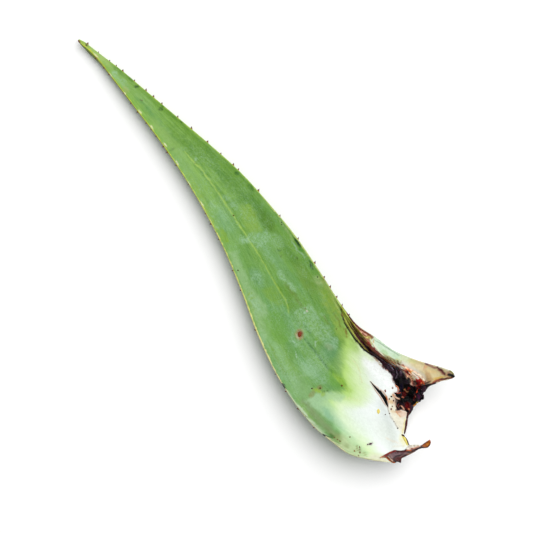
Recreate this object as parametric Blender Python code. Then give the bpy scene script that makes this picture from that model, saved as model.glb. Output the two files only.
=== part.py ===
"""Aloe vera leaf, torn from its plant and lying on its convex back.

It is one grown piece, so it is one solid named leaf: the fleshy blade, the pale clasping base with
its torn edge and slit, the rolled right wing that ends in the upper horn, the dried lower horn and
the marginal teeth. +X runs to the tip, +Y to the belly margin and +Z up. The origin is the centre of
the bounding box, on the table. Lengths are in millimetres until the mesh is made.
"""

import math

import bmesh
import bpy
import numpy as np
from mathutils import Matrix, Vector

MM = 0.001
SEED = 7

# Sections of the blade, from the base to the tip: place along X, y of the right and left margins,
# heights of those margins, height of the upper face between them, and height of the keel below.
SECTIONS = (
    (-245.0, -72.0, 33.5, 30.0, 32.0, 17.5, 10.5),
    (-225.0, -65.5, 46.2, 30.0, 32.0, 17.2, 8.5),
    (-205.0, -58.3, 58.2, 29.5, 31.5, 16.8, 6.2),
    (-185.0, -48.1, 61.9, 28.5, 30.0, 16.8, 4.0),
    (-165.0, -40.1, 63.9, 27.0, 28.0, 17.0, 2.2),
    (-145.0, -36.8, 62.7, 25.0, 26.0, 17.3, 0.8),
    (-125.0, -32.8, 59.5, 23.0, 24.5, 17.7, -0.1),
    (-105.0, -34.8, 54.7, 21.5, 23.0, 17.7, -0.6),
    (-65.0, -43.1, 40.5, 19.5, 21.0, 17.0, -0.8),
    (-25.0, -50.8, 22.2, 18.0, 19.5, 16.0, -0.7),
    (15.0, -54.8, 5.7, 16.5, 18.5, 14.8, -0.3),
    (55.0, -56.8, -7.1, 15.0, 17.5, 13.6, 0.2),
    (95.0, -54.8, -17.1, 13.5, 16.5, 12.3, 0.6),
    (135.0, -51.5, -24.6, 11.8, 15.3, 11.0, 0.9),
    (175.0, -48.1, -30.2, 9.8, 13.6, 9.6, 1.1),
    (205.0, -45.6, -34.4, 8.2, 12.0, 8.6, 1.2),
    (225.0, -42.9, -37.0, 7.0, 10.3, 8.0, 1.5),
    (240.0, -40.9, -36.6, 6.6, 9.2, 7.7, 2.6),
    (246.0, -40.1, -35.9, 6.6, 8.4, 7.4, 3.7),
    (250.9, -38.4, -35.6, 7.0, 7.6, 7.2, 6.0),
)
TIP_X = 250.9

# The torn edge, from the upper horn round the notch to the end of the belly margin: x and y.
TORN_EDGE = (
    (-225.0, -66.0),
    (-217.0, -51.0),
    (-212.2, -41.0),
    (-213.4, -32.6),
    (-216.0, -22.0),
    (-219.4, -6.6),
    (-222.7, 0.7),
    (-226.7, 7.3),
    (-230.0, 10.2),
    (-238.6, 12.5),
    (-243.3, 18.5),
    (-243.3, 28.5),
    (-239.3, 35.9),
    (-233.3, 40.5),
    (-224.6, 46.2),
)
EDGE_MEAN_X = -220.0  # the place that the rows of the mesh bend away from to follow the torn edge
EDGE_REACH = 0.32  # share of the length over which they bend
EDGE_JITTER = 0.7  # roughness of the torn edge

# The crack between the sheath and the right wing: x, y, half width and depth, from base to blade.
CRACK = (
    (-240.0, -22.0, 9.0, 4.0),
    (-210.0, -24.0, 9.0, 4.5),
    (-190.0, -25.0, 7.0, 4.5),
    (-175.0, -28.5, 3.8, 4.0),
    (-155.0, -23.5, 2.6, 3.2),
    (-130.0, -26.3, 2.0, 2.4),
    (-106.0, -30.6, 1.4, 1.2),
    (-90.0, -34.0, 1.2, 0.0),
)
CRACK_END_X = -90.0
CRUST_LUMP = 1.4  # height of the lumps of dried sap in the wide part of the crack

# Height of the rolled right wing above the plain section: x and height.
WING = (
    (-245.0, 3.0),
    (-222.0, 6.0),
    (-200.0, 9.5),
    (-170.0, 9.0),
    (-140.0, 5.5),
    (-112.0, 2.2),
    (-90.0, 0.0),
)
WING_CREST = 2.0  # the higher, the nearer the crest of the wing to the crack

MARGIN_EDGE = ((-245.0, 2.6), (-180.0, 2.4), (-110.0, 1.7), (100.0, 1.3), (TIP_X, 0.9))  # x and thickness
DIP_POWER = 2.6  # how flat the floor of the upper face is: 2 is a parabola
BELLY_POWER = 0.62  # roundness of the underside: 0.5 is an ellipse and 1 is a parabola
WING_UNDER = 0.7  # share of the wing's height that its underside follows

# Rows and columns of the mesh
BLADE_ROWS = 38
BASE_ROWS = 27
BLADE_SHARE = 0.7
WING_STEPS = (0.0, 0.22, 0.5, 0.78)
SHEATH_COLUMNS = 13

# The slit in the pale sheath: x and y of its ends and of the point that bends it.
SLIT = ((-169.5, -4.2), (-183.5, -3.6), (-199.5, 1.6))
SLIT_HALF_WIDTH = 1.3
SLIT_DEPTH = 3.0
SLIT_RINGS = 9

# The dried lower horn, from its root in the sheath to its tip: x, y, height above the sheath's face
# carried on past its edge, half width and thickness.
HORN = (
    (-227.0, 35.5, -0.6, 6.0, 2.4),
    (-235.0, 29.0, 0.3, 7.8, 2.4),
    (-240.6, 20.0, 0.5, 5.4, 2.4),
    (-243.4, 13.2, 0.8, 3.4, 2.2),
    (-245.6, 8.0, 1.6, 2.1, 2.0),
    (-247.2, 4.0, 2.6, 2.0, 2.0),
    (-248.5, 0.6, 3.6, 2.6, 2.0),
    (-249.2, -2.4, 4.6, 2.2, 1.8),
    (-249.1, -4.9, 5.2, 0.8, 1.0),
)

# Marginal teeth: height outside the margin, root radius and depth of the root.
TOOTH_HEIGHT = 2.1
TOOTH_RADIUS = 1.35
TOOTH_ROOT = 1.6
TOOTH_FLATNESS = 0.5  # height of its root over its width
TOOTH_SIDES = 6
TOOTH_LEAN = 0.45  # lean towards the tip
TOOTH_SPACING = ((-175.0, 12.5), (-95.0, 12.0), (40.0, 22.0), (180.0, 12.0), (240.0, 9.0))  # x, distance
TOOTH_JITTER = 0.22  # share of the spacing
TOOTH_START = {"right": -108.0, "left": -178.0}
TOOTH_END_X = 244.0

GREEN = (0.185, 0.375, 0.1, 1.0)
ROUGHNESS = 0.42


def smooth_curve(x, points):
    """Cubic curve through (x, value) points, at any x between them."""
    xs, ys = np.array(points, dtype=float).T
    steps = np.diff(xs)
    secants = np.diff(ys) / steps
    slopes = np.empty_like(ys)
    slopes[1:-1] = (secants[:-1] * steps[1:] + secants[1:] * steps[:-1]) / (steps[:-1] + steps[1:])
    slopes[0] = secants[0]
    slopes[-1] = secants[-1]
    x = np.clip(x, xs[0], xs[-1])
    i = np.clip(np.searchsorted(xs, x, side="right") - 1, 0, len(steps) - 1)
    t = (x - xs[i]) / steps[i]
    from_start = (1 + 2 * t) * (1 - t) ** 2 * ys[i] + t * (1 - t) ** 2 * steps[i] * slopes[i]
    from_end = t**2 * (3 - 2 * t) * ys[i + 1] + t**2 * (t - 1) * steps[i] * slopes[i + 1]
    return from_start + from_end


def section_value(x, column):
    return smooth_curve(x, [(row[0], row[column]) for row in SECTIONS])


def margins(x):
    """Points (y, z) of the right and left margins at x, last axis first."""
    right = np.stack([section_value(x, 1), section_value(x, 3)])
    left = np.stack([section_value(x, 2), section_value(x, 4)])
    return right, left


def across(x, y):
    """Share v from the right margin (-1) to the left one (+1) of a point (x, y)."""
    right = section_value(x, 1)
    left = section_value(x, 2)
    return 2 * (y - right) / (left - right) - 1


def crack_line(x):
    """Share v of the crack's bottom at x, and the half width of the crack as a share."""
    place = np.clip(x, CRACK[0][0], CRACK_END_X)
    y = smooth_curve(place, [(row[0], row[1]) for row in CRACK])
    half_width = smooth_curve(place, [(row[0], row[2]) for row in CRACK])
    width = section_value(place, 2) - section_value(place, 1)
    return across(place, y), 2 * half_width / width


def faces_at(x, v):
    """Points of the upper face and the underside at x and v, as arrays with x, y, z last."""
    right, left = margins(x)
    share = (v + 1) / 2
    chord = right * (1 - share) + left * share
    roll = np.arctan2(left[1] - right[1], left[0] - right[0])
    down = np.stack([np.sin(roll), -np.cos(roll)])
    chord_height = (right[1] + left[1]) / 2
    edge = smooth_curve(x, MARGIN_EDGE)
    dip = (chord_height - section_value(x, 5)) / np.cos(roll)
    depth = (chord_height - section_value(x, 6)) / np.cos(roll)
    hollow = dip * (1 - np.abs(v) ** DIP_POWER)
    belly = (depth - dip - edge) * (1 - v**2).clip(0) ** BELLY_POWER
    upper = chord + down * hollow
    under = chord + down * (hollow + belly + edge)

    middle, half_width = crack_line(x)
    wing_share = np.clip((v + 1) / (middle - half_width + 1), 0, 1)
    ridge = smooth_curve(x, WING) * np.sin(math.pi * wing_share**WING_CREST)
    crack_depth = smooth_curve(np.clip(x, CRACK[0][0], CRACK_END_X), [(row[0], row[3]) for row in CRACK])
    groove = crack_depth * np.clip(1 - np.abs(v - middle) / half_width, 0, 1)
    upper[1] += ridge - groove
    under[1] += WING_UNDER * ridge
    under[1] = under[1].clip(0)
    return np.stack([x, upper[0], upper[1]], axis=-1), np.stack([x, under[0], under[1]], axis=-1)


def mesh_places(random):
    """The x and v of every mesh point: rows from the tip to the torn edge, columns across."""
    blade = np.linspace(0, BLADE_SHARE, BLADE_ROWS, endpoint=False)
    base = np.linspace(BLADE_SHARE, 1, BASE_ROWS)
    along = np.concatenate([blade, base])
    plain_x = TIP_X + (EDGE_MEAN_X - TIP_X) * along
    middle, half_width = crack_line(plain_x)
    wing = [-1 + step * (middle - half_width + 1) for step in WING_STEPS]
    crack = [middle - half_width, middle - half_width / 2, middle, middle + half_width / 2]
    start = middle + half_width
    steps = np.sin(np.linspace(0, math.pi / 2, SHEATH_COLUMNS))
    sheath = [start + (1 - start) * step for step in steps]
    v = np.stack(wing + crack + sheath, axis=1)

    edge = np.array(TORN_EDGE)
    edge_v = np.clip(across(edge[:, 0], edge[:, 1]), -1, 1)
    edge_v[0] = -1
    edge_v[-1] = 1
    edge_x = np.interp(v, edge_v, edge[:, 0])
    edge_x[-1] += random.uniform(-EDGE_JITTER, EDGE_JITTER, v.shape[1])
    fade = np.clip((along - 1 + EDGE_REACH) / EDGE_REACH, 0, 1)[:, None] ** 1.4
    x = plain_x[:, None] + (edge_x - EDGE_MEAN_X) * fade
    return x, v


def crust_lumps(x, v, random):
    """Lumps of dried sap, only in the wide part of the crack."""
    middle, half_width = crack_line(x)
    inside = np.clip(1.6 - np.abs(v - middle) / half_width, 0, 1)
    wide = np.clip((-168.0 - x) / 15.0, 0, 1)
    return random.uniform(-0.4, 1.0, x.shape) * CRUST_LUMP * inside * wide


def new_object(name, mesh_bm, collection):
    mesh = bpy.data.meshes.new(name)
    mesh_bm.to_mesh(mesh)
    mesh_bm.free()
    obj = bpy.data.objects.new(name, mesh)
    collection.objects.link(obj)
    return obj


def loft(rings):
    """Closed skin through rings of the same, even point count; strips of quads close its two ends."""
    bm = bmesh.new()
    verts = [[bm.verts.new(Vector(point) * MM) for point in ring] for ring in rings]
    count = len(verts[0])
    for ring, after in zip(verts, verts[1:]):
        for i in range(count):
            j = (i + 1) % count
            bm.faces.new((ring[i], after[i], after[j], ring[j]))
    for ring in (verts[0], verts[-1]):
        for i in range(count // 2 - 1):
            bm.faces.new((ring[i], ring[i + 1], ring[-i - 2], ring[-i - 1]))
    bmesh.ops.recalc_face_normals(bm, faces=bm.faces)
    return bm


def leaf_body(collection):
    """The blade and sheath: rings of the upper face and the underside from the tip to the torn edge."""
    random = np.random.default_rng(SEED)
    x, v = mesh_places(random)
    upper, under = faces_at(x, v)
    upper[..., 2] += crust_lumps(x, v, random)
    rings = np.concatenate([upper, under[:, ::-1]], axis=1)
    return new_object("leaf", loft(rings.tolist()), collection)


def on_upper_face(place, lift):
    """The point of the upper face at (x, y), raised by lift."""
    x = np.array([place[0]])
    upper, _ = faces_at(x, across(x, place[1]))
    return np.array([place[0], place[1], upper[0][2] + lift])


def lower_horn(collection):
    """Dried strip of skin that hooks away from the sheath: six-sided rings along its path."""
    places = np.array([row[:2] for row in HORN])
    tangents = np.gradient(places, axis=0)
    rings = []
    for place, tangent, (_, _, lift, half_width, thickness) in zip(places, tangents, HORN):
        side = np.array([-tangent[1], tangent[0]]) / np.linalg.norm(tangent)
        low = on_upper_face(place - side * half_width, lift)
        high = on_upper_face(place + side * half_width, lift)
        near, far = low * 0.75 + high * 0.25, low * 0.25 + high * 0.75
        thick = np.array([0.0, 0.0, thickness / 2])
        rings.append([low, near + thick, far + thick, high, far - thick, near - thick])
    return new_object("lower_horn", loft(rings), collection)


def tooth_places(side, random):
    """Places along one margin, spaced by the rule in TOOTH_SPACING with a seeded jitter."""
    places = []
    x = TOOTH_START[side]
    while x < TOOTH_END_X:
        places.append(x)
        spacing = np.interp(x, *np.array(TOOTH_SPACING).T)
        x += spacing * (1 + random.uniform(-TOOTH_JITTER, TOOTH_JITTER))
    return places


def add_teeth(collection):
    """A cone at each place, pointing out of the margin and leaning towards the tip."""
    random = np.random.default_rng(SEED + 1)
    for side, sign in (("right", -1.0), ("left", 1.0)):
        for number, x in enumerate(tooth_places(side, random)):
            near, far = (faces_at(np.array([place]), np.array([sign])) for place in (x - 1, x + 1))
            here = (near[0][0] + near[1][0] + far[0][0] + far[1][0]) / 4
            tangent = Vector(far[0][0] - near[0][0]).normalized()
            outward = tangent.cross(Vector((0, 0, -sign))).normalized()
            axis = (outward + TOOTH_LEAN * tangent).normalized()
            size = random.uniform(0.8, 1.2) * np.interp(x, (150.0, TOOTH_END_X), (1.0, 0.7))
            depth = (TOOTH_HEIGHT + TOOTH_ROOT) * size
            centre = Vector(here) + axis * (depth / 2 - TOOTH_ROOT * size)
            upward = axis.cross(tangent) * sign
            upward.normalize()
            turn = Matrix((upward.cross(axis), upward * TOOTH_FLATNESS, axis)).transposed().to_4x4()
            bm = bmesh.new()
            bmesh.ops.create_cone(
                bm,
                cap_ends=True,
                segments=TOOTH_SIDES,
                radius1=TOOTH_RADIUS * size * MM,
                radius2=0.25 * MM,
                depth=depth * MM,
                matrix=Matrix.Translation(centre * MM) @ turn,
            )
            new_object(f"tooth_{side}_{number}", bm, collection)


def slit_cutter(collection):
    """A wedge along the slit: diamond rings that swell from one pointed end to the other."""
    start, bend, end = (np.array(point) for point in SLIT)
    rings = []
    for share in np.linspace(0.0, 1.0, SLIT_RINGS):
        place = start * (1 - share) ** 2 + bend * 2 * share * (1 - share) + end * share**2
        run = (bend - start) * (1 - share) + (end - bend) * share
        side = np.array([-run[1], run[0]]) / math.hypot(*run)
        swell = 0.08 + 0.92 * math.sin(math.pi * share)
        height = on_upper_face(place, 0.0)[2]
        right = place - side * SLIT_HALF_WIDTH * swell
        left = place + side * SLIT_HALF_WIDTH * swell
        rings.append(
            [
                (*right, height + 0.1),
                (*place, height - SLIT_DEPTH * swell),
                (*left, height + 0.1),
                (*place, height + SLIT_DEPTH),
            ]
        )
    return new_object("slit_cutter", loft(rings), collection)


def apply_modifiers(obj):
    """Replace the mesh by the one that the modifiers make."""
    bpy.context.view_layer.update()
    evaluated = obj.evaluated_get(bpy.context.evaluated_depsgraph_get())
    mesh = bpy.data.meshes.new_from_object(evaluated)
    obj.modifiers.clear()
    obj.data = mesh
    mesh.name = obj.name


def join_collection(obj, collection):
    """Fuse every object of the collection into obj, then remove them."""
    union = obj.modifiers.new("union", "BOOLEAN")
    union.operation = "UNION"
    union.solver = "EXACT"
    union.operand_type = "COLLECTION"
    union.collection = collection
    apply_modifiers(obj)
    for other in list(collection.objects):
        bpy.data.objects.remove(other)
    bpy.data.collections.remove(collection)


def cut(obj, cutter):
    """Cut the cutter's shape out of obj, then remove the cutter."""
    cutter.hide_render = True
    cutter.display_type = "WIRE"
    difference = obj.modifiers.new("slit", "BOOLEAN")
    difference.operation = "DIFFERENCE"
    difference.solver = "EXACT"
    difference.object = cutter
    apply_modifiers(obj)
    bpy.data.objects.remove(cutter)


def centre_on_box(obj):
    """Put the origin at the bottom centre of the bounding box."""
    points = np.empty(len(obj.data.vertices) * 3)
    obj.data.vertices.foreach_get("co", points)
    points = points.reshape(-1, 3)
    low, high = points.min(axis=0), points.max(axis=0)
    shift = Vector((-(low[0] + high[0]) / 2, -(low[1] + high[1]) / 2, -low[2]))
    obj.data.transform(Matrix.Translation(shift))


def leaf_material():
    material = bpy.data.materials.new("leaf_skin")
    material.use_nodes = True
    shader = material.node_tree.nodes["Principled BSDF"]
    shader.inputs["Base Color"].default_value = GREEN
    shader.inputs["Roughness"].default_value = ROUGHNESS
    shader.inputs["Metallic"].default_value = 0.0
    return material


def new_collection(name):
    collection = bpy.data.collections.new(name)
    bpy.context.scene.collection.children.link(collection)
    return collection


def main():
    for old in list(bpy.data.objects):
        bpy.data.objects.remove(old)
    parts = new_collection("aloe_vera_leaf")
    growths = new_collection("growths")
    cutters = new_collection("cutters")
    cutters.hide_render = True

    leaf = leaf_body(parts)
    lower_horn(growths)
    add_teeth(growths)
    cut(leaf, slit_cutter(cutters))
    join_collection(leaf, growths)
    centre_on_box(leaf)

    leaf.data.materials.clear()
    leaf.data.materials.append(leaf_material())
    for polygon in leaf.data.polygons:
        polygon.use_smooth = True


main()
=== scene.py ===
# %% [markdown]
# # An aloe leaf, torn from its plant and lying on its back
# The real thing is one grown piece: a fleshy green blade with a waxy bloom, a thin white base that
# clasped the stem, and the scars of the tearing, which are a crack full of dried sap, brown skin and
# two dried horns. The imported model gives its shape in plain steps. This lesson grows a finer skin over
# the same formulas and dresses it, so that it looks like the photographed leaf from every side.

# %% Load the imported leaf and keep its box
import math

import bpy
import numpy as np
from mathutils import Matrix, Vector


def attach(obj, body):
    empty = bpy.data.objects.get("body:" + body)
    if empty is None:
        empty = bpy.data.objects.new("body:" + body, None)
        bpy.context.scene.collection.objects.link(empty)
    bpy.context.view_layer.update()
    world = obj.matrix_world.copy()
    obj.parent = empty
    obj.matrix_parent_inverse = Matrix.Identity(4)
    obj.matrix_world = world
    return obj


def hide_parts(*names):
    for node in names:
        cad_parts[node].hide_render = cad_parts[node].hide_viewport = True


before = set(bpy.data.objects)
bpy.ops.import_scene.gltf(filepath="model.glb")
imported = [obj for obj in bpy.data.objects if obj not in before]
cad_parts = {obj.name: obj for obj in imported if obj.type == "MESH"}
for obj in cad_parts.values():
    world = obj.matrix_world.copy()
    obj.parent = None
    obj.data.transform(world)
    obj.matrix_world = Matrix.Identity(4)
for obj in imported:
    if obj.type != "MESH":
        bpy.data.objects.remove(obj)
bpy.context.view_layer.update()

MM = 0.001

# %% [markdown]
# ## Camera
# The photo looks straight down on the leaf, which lies at 45 degrees in the frame. A long lens from
# far away was chosen, because the photo shows hardly any perspective. Places are often easier to name
# as they are seen, so two helpers turn a pixel of the photo into millimetres and back.

# %% The camera, and the step between the photo's pixels and the leaf's millimetres
PHOTO_SIDE = 533
PIXEL = 0.94
VIEW_CENTRE = (-24.6, -11.3, 20.0)
CAMERA_DISTANCE = 2783.4
LENS = 200.0
CENTRING = (0.243, -0.159)  # mm that moves the measured leaf onto the middle of its box
DIAGONAL = math.sqrt(0.5)


def to_photo(x, y):
    """Pixel of a place: along the leaf is up and to the left, across it is down and to the left."""
    along = (x - VIEW_CENTRE[0]) / (PIXEL * DIAGONAL)
    sideways = (y - VIEW_CENTRE[1]) / (PIXEL * DIAGONAL)
    return (PHOTO_SIDE - along - sideways) / 2, (PHOTO_SIDE - along + sideways) / 2


def from_photo(pixel_x, pixel_y):
    """Place of a pixel, the other way round."""
    along = PHOTO_SIDE - pixel_x - pixel_y
    sideways = pixel_y - pixel_x
    return VIEW_CENTRE[0] + along * PIXEL * DIAGONAL, VIEW_CENTRE[1] + sideways * PIXEL * DIAGONAL


lens = bpy.data.cameras.new("photo_camera")
lens.lens = LENS
camera = bpy.data.objects.new("photo_camera", lens)
bpy.context.scene.collection.objects.link(camera)
right, up, back = Vector((-1, -1, 0)), Vector((1, -1, 0)), Vector((0, 0, 1))
camera.matrix_world = Matrix((right.normalized(), up.normalized(), back)).transposed().to_4x4()
camera.location = Vector(VIEW_CENTRE) * MM + back * CAMERA_DISTANCE * MM
bpy.context.scene.camera = camera
print("camera looks down from", round(camera.location.z, 3), "m")

# %% [markdown]
# ## Table and light
# The leaf lies on a white sheet. The photo has one broad soft light from the upper right, so the
# shadow falls to the lower left, and a bright room that fills it. A very wide sun and a white world
# give both. An area light near the leaf was tried, and it made the table darker to one side. The
# plain view transform keeps the measured colours as they are.

# %% Floor, soft light and bright room
ROOM_LIGHT = 0.38
TABLE_SIDE = 30.0
PAPER_WHITE = 0.9
SUN_HEIGHT = 60.0  # degrees over the table
SUN_LEAN = 0.05
SUN_SPREAD = 62.0
SUN_POWER = 3.0

scene = bpy.context.scene
scene.view_settings.view_transform = "Standard"
world = bpy.data.worlds.new("bright_room")
scene.world = world
world.use_nodes = True
sky = world.node_tree.nodes["Background"].inputs
sky["Color"].default_value = (1.0, 1.0, 1.0, 1.0)
sky["Strength"].default_value = ROOM_LIGHT

bpy.ops.mesh.primitive_plane_add(size=TABLE_SIDE)
floor = bpy.context.object
floor.name = "white_table"
paper = bpy.data.materials.new("white_paper")
paper.use_nodes = True
paper_inputs = paper.node_tree.nodes["Principled BSDF"].inputs
paper_inputs["Base Color"].default_value = (PAPER_WHITE, PAPER_WHITE, PAPER_WHITE, 1.0)
paper_inputs["Roughness"].default_value = 0.9
floor.data.materials.append(paper)


def soft_sun(name, direction, spread, power):
    """Far light from a direction, as wide in the sky as the spread in degrees."""
    light = bpy.data.lights.new(name, "SUN")
    light.angle = math.radians(spread)
    light.energy = power
    lamp = bpy.data.objects.new(name, light)
    scene.collection.objects.link(lamp)
    lamp.rotation_euler = Vector(direction).to_track_quat("Z", "Y").to_euler()


sun_angle = math.radians(SUN_HEIGHT)
soft_sun("window", (SUN_LEAN, -math.cos(sun_angle), math.sin(sun_angle)), SUN_SPREAD, SUN_POWER)
print("table and light stand")

# %% [markdown]
# ## The leaf's own formulas
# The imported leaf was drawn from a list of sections, each with the places of both margins, the height
# of the hollow face and the height of the keel. The finer skin has to lie on the same shape, so the
# same list and the same formulas come first. Lengths are in millimetres until a mesh is made.

# %% Sections, torn edge, crack and wing
# Each row of the sections: x, then the values with these names. Z is a height, and the keel is the belly's
# lowest line. The crack has a row of its own kind: x, then its y, its half width and its depth.
RIGHT_Y, LEFT_Y, RIGHT_Z, LEFT_Z, FACE_Z, KEEL_Z = range(1, 7)
CRACK_Y, CRACK_HALF, CRACK_DEPTH = range(1, 4)
SECTIONS = (
    (-245.0, -72.0, 33.5, 30.0, 32.0, 17.5, 10.5),
    (-225.0, -65.5, 46.2, 30.0, 32.0, 17.2, 8.5),
    (-205.0, -58.3, 58.2, 29.5, 31.5, 16.8, 6.2),
    (-185.0, -48.1, 61.9, 28.5, 30.0, 16.8, 4.0),
    (-165.0, -40.1, 63.9, 27.0, 28.0, 17.0, 2.2),
    (-145.0, -36.8, 62.7, 25.0, 26.0, 17.3, 0.8),
    (-125.0, -32.8, 59.5, 23.0, 24.5, 17.7, -0.1),
    (-105.0, -34.8, 54.7, 21.5, 23.0, 17.7, -0.6),
    (-65.0, -43.1, 40.5, 19.5, 21.0, 17.0, -0.8),
    (-25.0, -50.8, 22.2, 18.0, 19.5, 16.0, -0.7),
    (15.0, -54.8, 5.7, 16.5, 18.5, 14.8, -0.3),
    (55.0, -56.8, -7.1, 15.0, 17.5, 13.6, 0.2),
    (95.0, -54.8, -17.1, 13.5, 16.5, 12.3, 0.6),
    (135.0, -51.5, -24.6, 11.8, 15.3, 11.0, 0.9),
    (175.0, -48.1, -30.2, 9.8, 13.6, 9.6, 1.1),
    (205.0, -45.6, -34.4, 8.2, 12.0, 8.6, 1.2),
    (225.0, -42.9, -37.0, 7.0, 10.3, 8.0, 1.5),
    (240.0, -40.9, -36.6, 6.6, 9.2, 7.7, 2.6),
    (246.0, -40.1, -35.9, 6.6, 8.4, 7.4, 3.7),
    (250.9, -38.4, -35.6, 7.0, 7.6, 7.2, 6.0),
)
TIP_X = 250.9
TORN_EDGE = (
    (-225.0, -66.0), (-217.0, -51.0), (-212.2, -41.0), (-213.4, -32.6), (-216.0, -22.0), (-219.4, -6.6),
    (-222.7, 0.7), (-226.7, 7.3), (-230.0, 10.2), (-238.6, 12.5), (-243.3, 18.5), (-243.3, 28.5),
    (-239.3, 35.9), (-233.3, 40.5), (-224.6, 46.2),
)
EDGE_MEAN_X = -220.0
EDGE_REACH = 0.32  # share of the leaf's length over which the rows bend to the torn edge
CRACK = (
    (-240.0, -22.0, 9.0, 4.0),
    (-210.0, -24.0, 9.0, 4.5),
    (-190.0, -25.0, 7.0, 4.5),
    (-175.0, -28.5, 3.8, 4.0),
    (-155.0, -23.5, 2.6, 3.2),
    (-130.0, -26.3, 2.0, 2.4),
    (-106.0, -30.6, 1.4, 1.2),
    (-90.0, -34.0, 1.2, 0.0),
)
CRACK_END_X = -90.0
# height of the right wing, and thickness of the margins, by x
WING = (
    (-245.0, 3.0), (-222.0, 6.0), (-200.0, 9.5), (-170.0, 9.0), (-140.0, 5.5), (-112.0, 2.2), (-90.0, 0.0),
)
MARGIN_EDGE = ((-245.0, 2.6), (-180.0, 2.4), (-110.0, 1.7), (100.0, 1.3), (TIP_X, 0.9))
WING_CREST = 2.0  # the higher, the nearer the wing's crest lies to the crack
DIP_POWER = 2.6  # the higher, the flatter the floor of the hollow
BELLY_POWER = 0.62
WING_UNDER = 0.7  # share of the wing's rise that the back follows
print("sections:", len(SECTIONS))


# %% Curves through the listed points
def smooth_curve(x, points):
    """Cubic curve through (x, value) points, with slopes taken from the neighbours."""
    xs, ys = np.array(points, dtype=float).T
    steps = np.diff(xs)
    secants = np.diff(ys) / steps
    slopes = np.empty_like(ys)
    slopes[1:-1] = (secants[:-1] * steps[1:] + secants[1:] * steps[:-1]) / (steps[:-1] + steps[1:])
    slopes[0] = secants[0]
    slopes[-1] = secants[-1]
    x = np.clip(x, xs[0], xs[-1])
    i = np.clip(np.searchsorted(xs, x, side="right") - 1, 0, len(steps) - 1)
    t = (x - xs[i]) / steps[i]
    start = (1 + 2 * t) * (1 - t) ** 2 * ys[i] + t * (1 - t) ** 2 * steps[i] * slopes[i]
    end = t**2 * (3 - 2 * t) * ys[i + 1] + t**2 * (t - 1) * steps[i] * slopes[i + 1]
    return start + end


def column(points, number):
    """The (x, value) pairs of one column of a list."""
    return [(row[0], row[number]) for row in points]


def section_value(x, number):
    """One named value of the sections at x."""
    return smooth_curve(x, column(SECTIONS, number))


def leaf_width(x):
    """Distance from the right to the left margin."""
    return section_value(x, LEFT_Y) - section_value(x, RIGHT_Y)


def across(x, y):
    """Share from the right margin, -1, to the left margin, +1."""
    right, left = section_value(x, RIGHT_Y), section_value(x, LEFT_Y)
    return 2 * (y - right) / (left - right) - 1


def crack_value(x, number):
    """One named value of the crack at x, and past its ends the value there."""
    return smooth_curve(np.clip(x, CRACK[0][0], CRACK_END_X), column(CRACK, number))


def crack_line(x):
    """Share of the crack's bottom, and its half width as a share."""
    place = np.clip(x, CRACK[0][0], CRACK_END_X)
    return across(place, crack_value(x, CRACK_Y)), 2 * crack_value(x, CRACK_HALF) / leaf_width(place)


def groove_share(v, middle, half_width):
    """1 at the bottom of the crack, 0 at its sides and beyond."""
    return np.clip(1 - np.abs(v - middle) / half_width, 0, 1)


def smoothstep(low, high, value):
    """0 below low, 1 above high, with soft ends."""
    t = np.clip((value - low) / (high - low), 0.0, 1.0)
    return t * t * (3 - 2 * t)


print("width in the middle, mm:", leaf_width(0.0).round(1))


# %% The hollow face and the convex back as functions of place
def wing_share(x, v):
    """0 at the right margin, 1 where the wing meets the crack."""
    middle, half_width = crack_line(x)
    return (v + 1) / (middle - half_width + 1)


def leaf_faces(x, v):
    """Chord between the margins, minus a flat-floored hollow, minus a rounded belly for the back."""
    share = (v + 1) / 2
    right = np.stack([section_value(x, RIGHT_Y), section_value(x, RIGHT_Z)])
    left = np.stack([section_value(x, LEFT_Y), section_value(x, LEFT_Z)])
    chord = right * (1 - share) + left * share
    roll = np.arctan2(left[1] - right[1], left[0] - right[0])
    down = np.stack([np.sin(roll), -np.cos(roll)])
    middle_height = (right[1] + left[1]) / 2
    edge = smooth_curve(x, MARGIN_EDGE)
    dip = (middle_height - section_value(x, FACE_Z)) / np.cos(roll)
    depth = (middle_height - section_value(x, KEEL_Z)) / np.cos(roll)
    hollow = dip * (1 - np.abs(v) ** DIP_POWER)
    belly = (depth - dip - edge) * (1 - v**2).clip(0) ** BELLY_POWER
    upper = chord + down * hollow
    under = chord + down * (hollow + belly + edge)
    middle, half_width = crack_line(x)
    ridge = smooth_curve(x, WING) * np.sin(math.pi * wing_share(x, v).clip(0, 1) ** WING_CREST)
    groove = crack_value(x, CRACK_DEPTH) * groove_share(v, middle, half_width)
    upper[1] += ridge - groove
    under[1] += WING_UNDER * ridge
    under[1] = under[1].clip(0)
    return np.stack([x, upper[0], upper[1]], axis=-1), np.stack([x, under[0], under[1]], axis=-1)


def face_height(x, y):
    """Height of the hollow face at a place."""
    upper, _ = leaf_faces(x, across(x, y).clip(-1, 1))
    return upper[..., 2]


print("height of the hollow face in the middle:", face_height(np.array([0.0]), np.array([-20.0])).round(1))

# %% [markdown]
# ## Marks, measured on the photo
# Scars, veins and stains sit at known places, so they are described as they are seen: as lines,
# ovals and outlines in photo pixels. A line or an outline is turned into a distance, which is smooth
# between the points of a mesh, and the material turns the distance into an edge as sharp as it likes.


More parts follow.
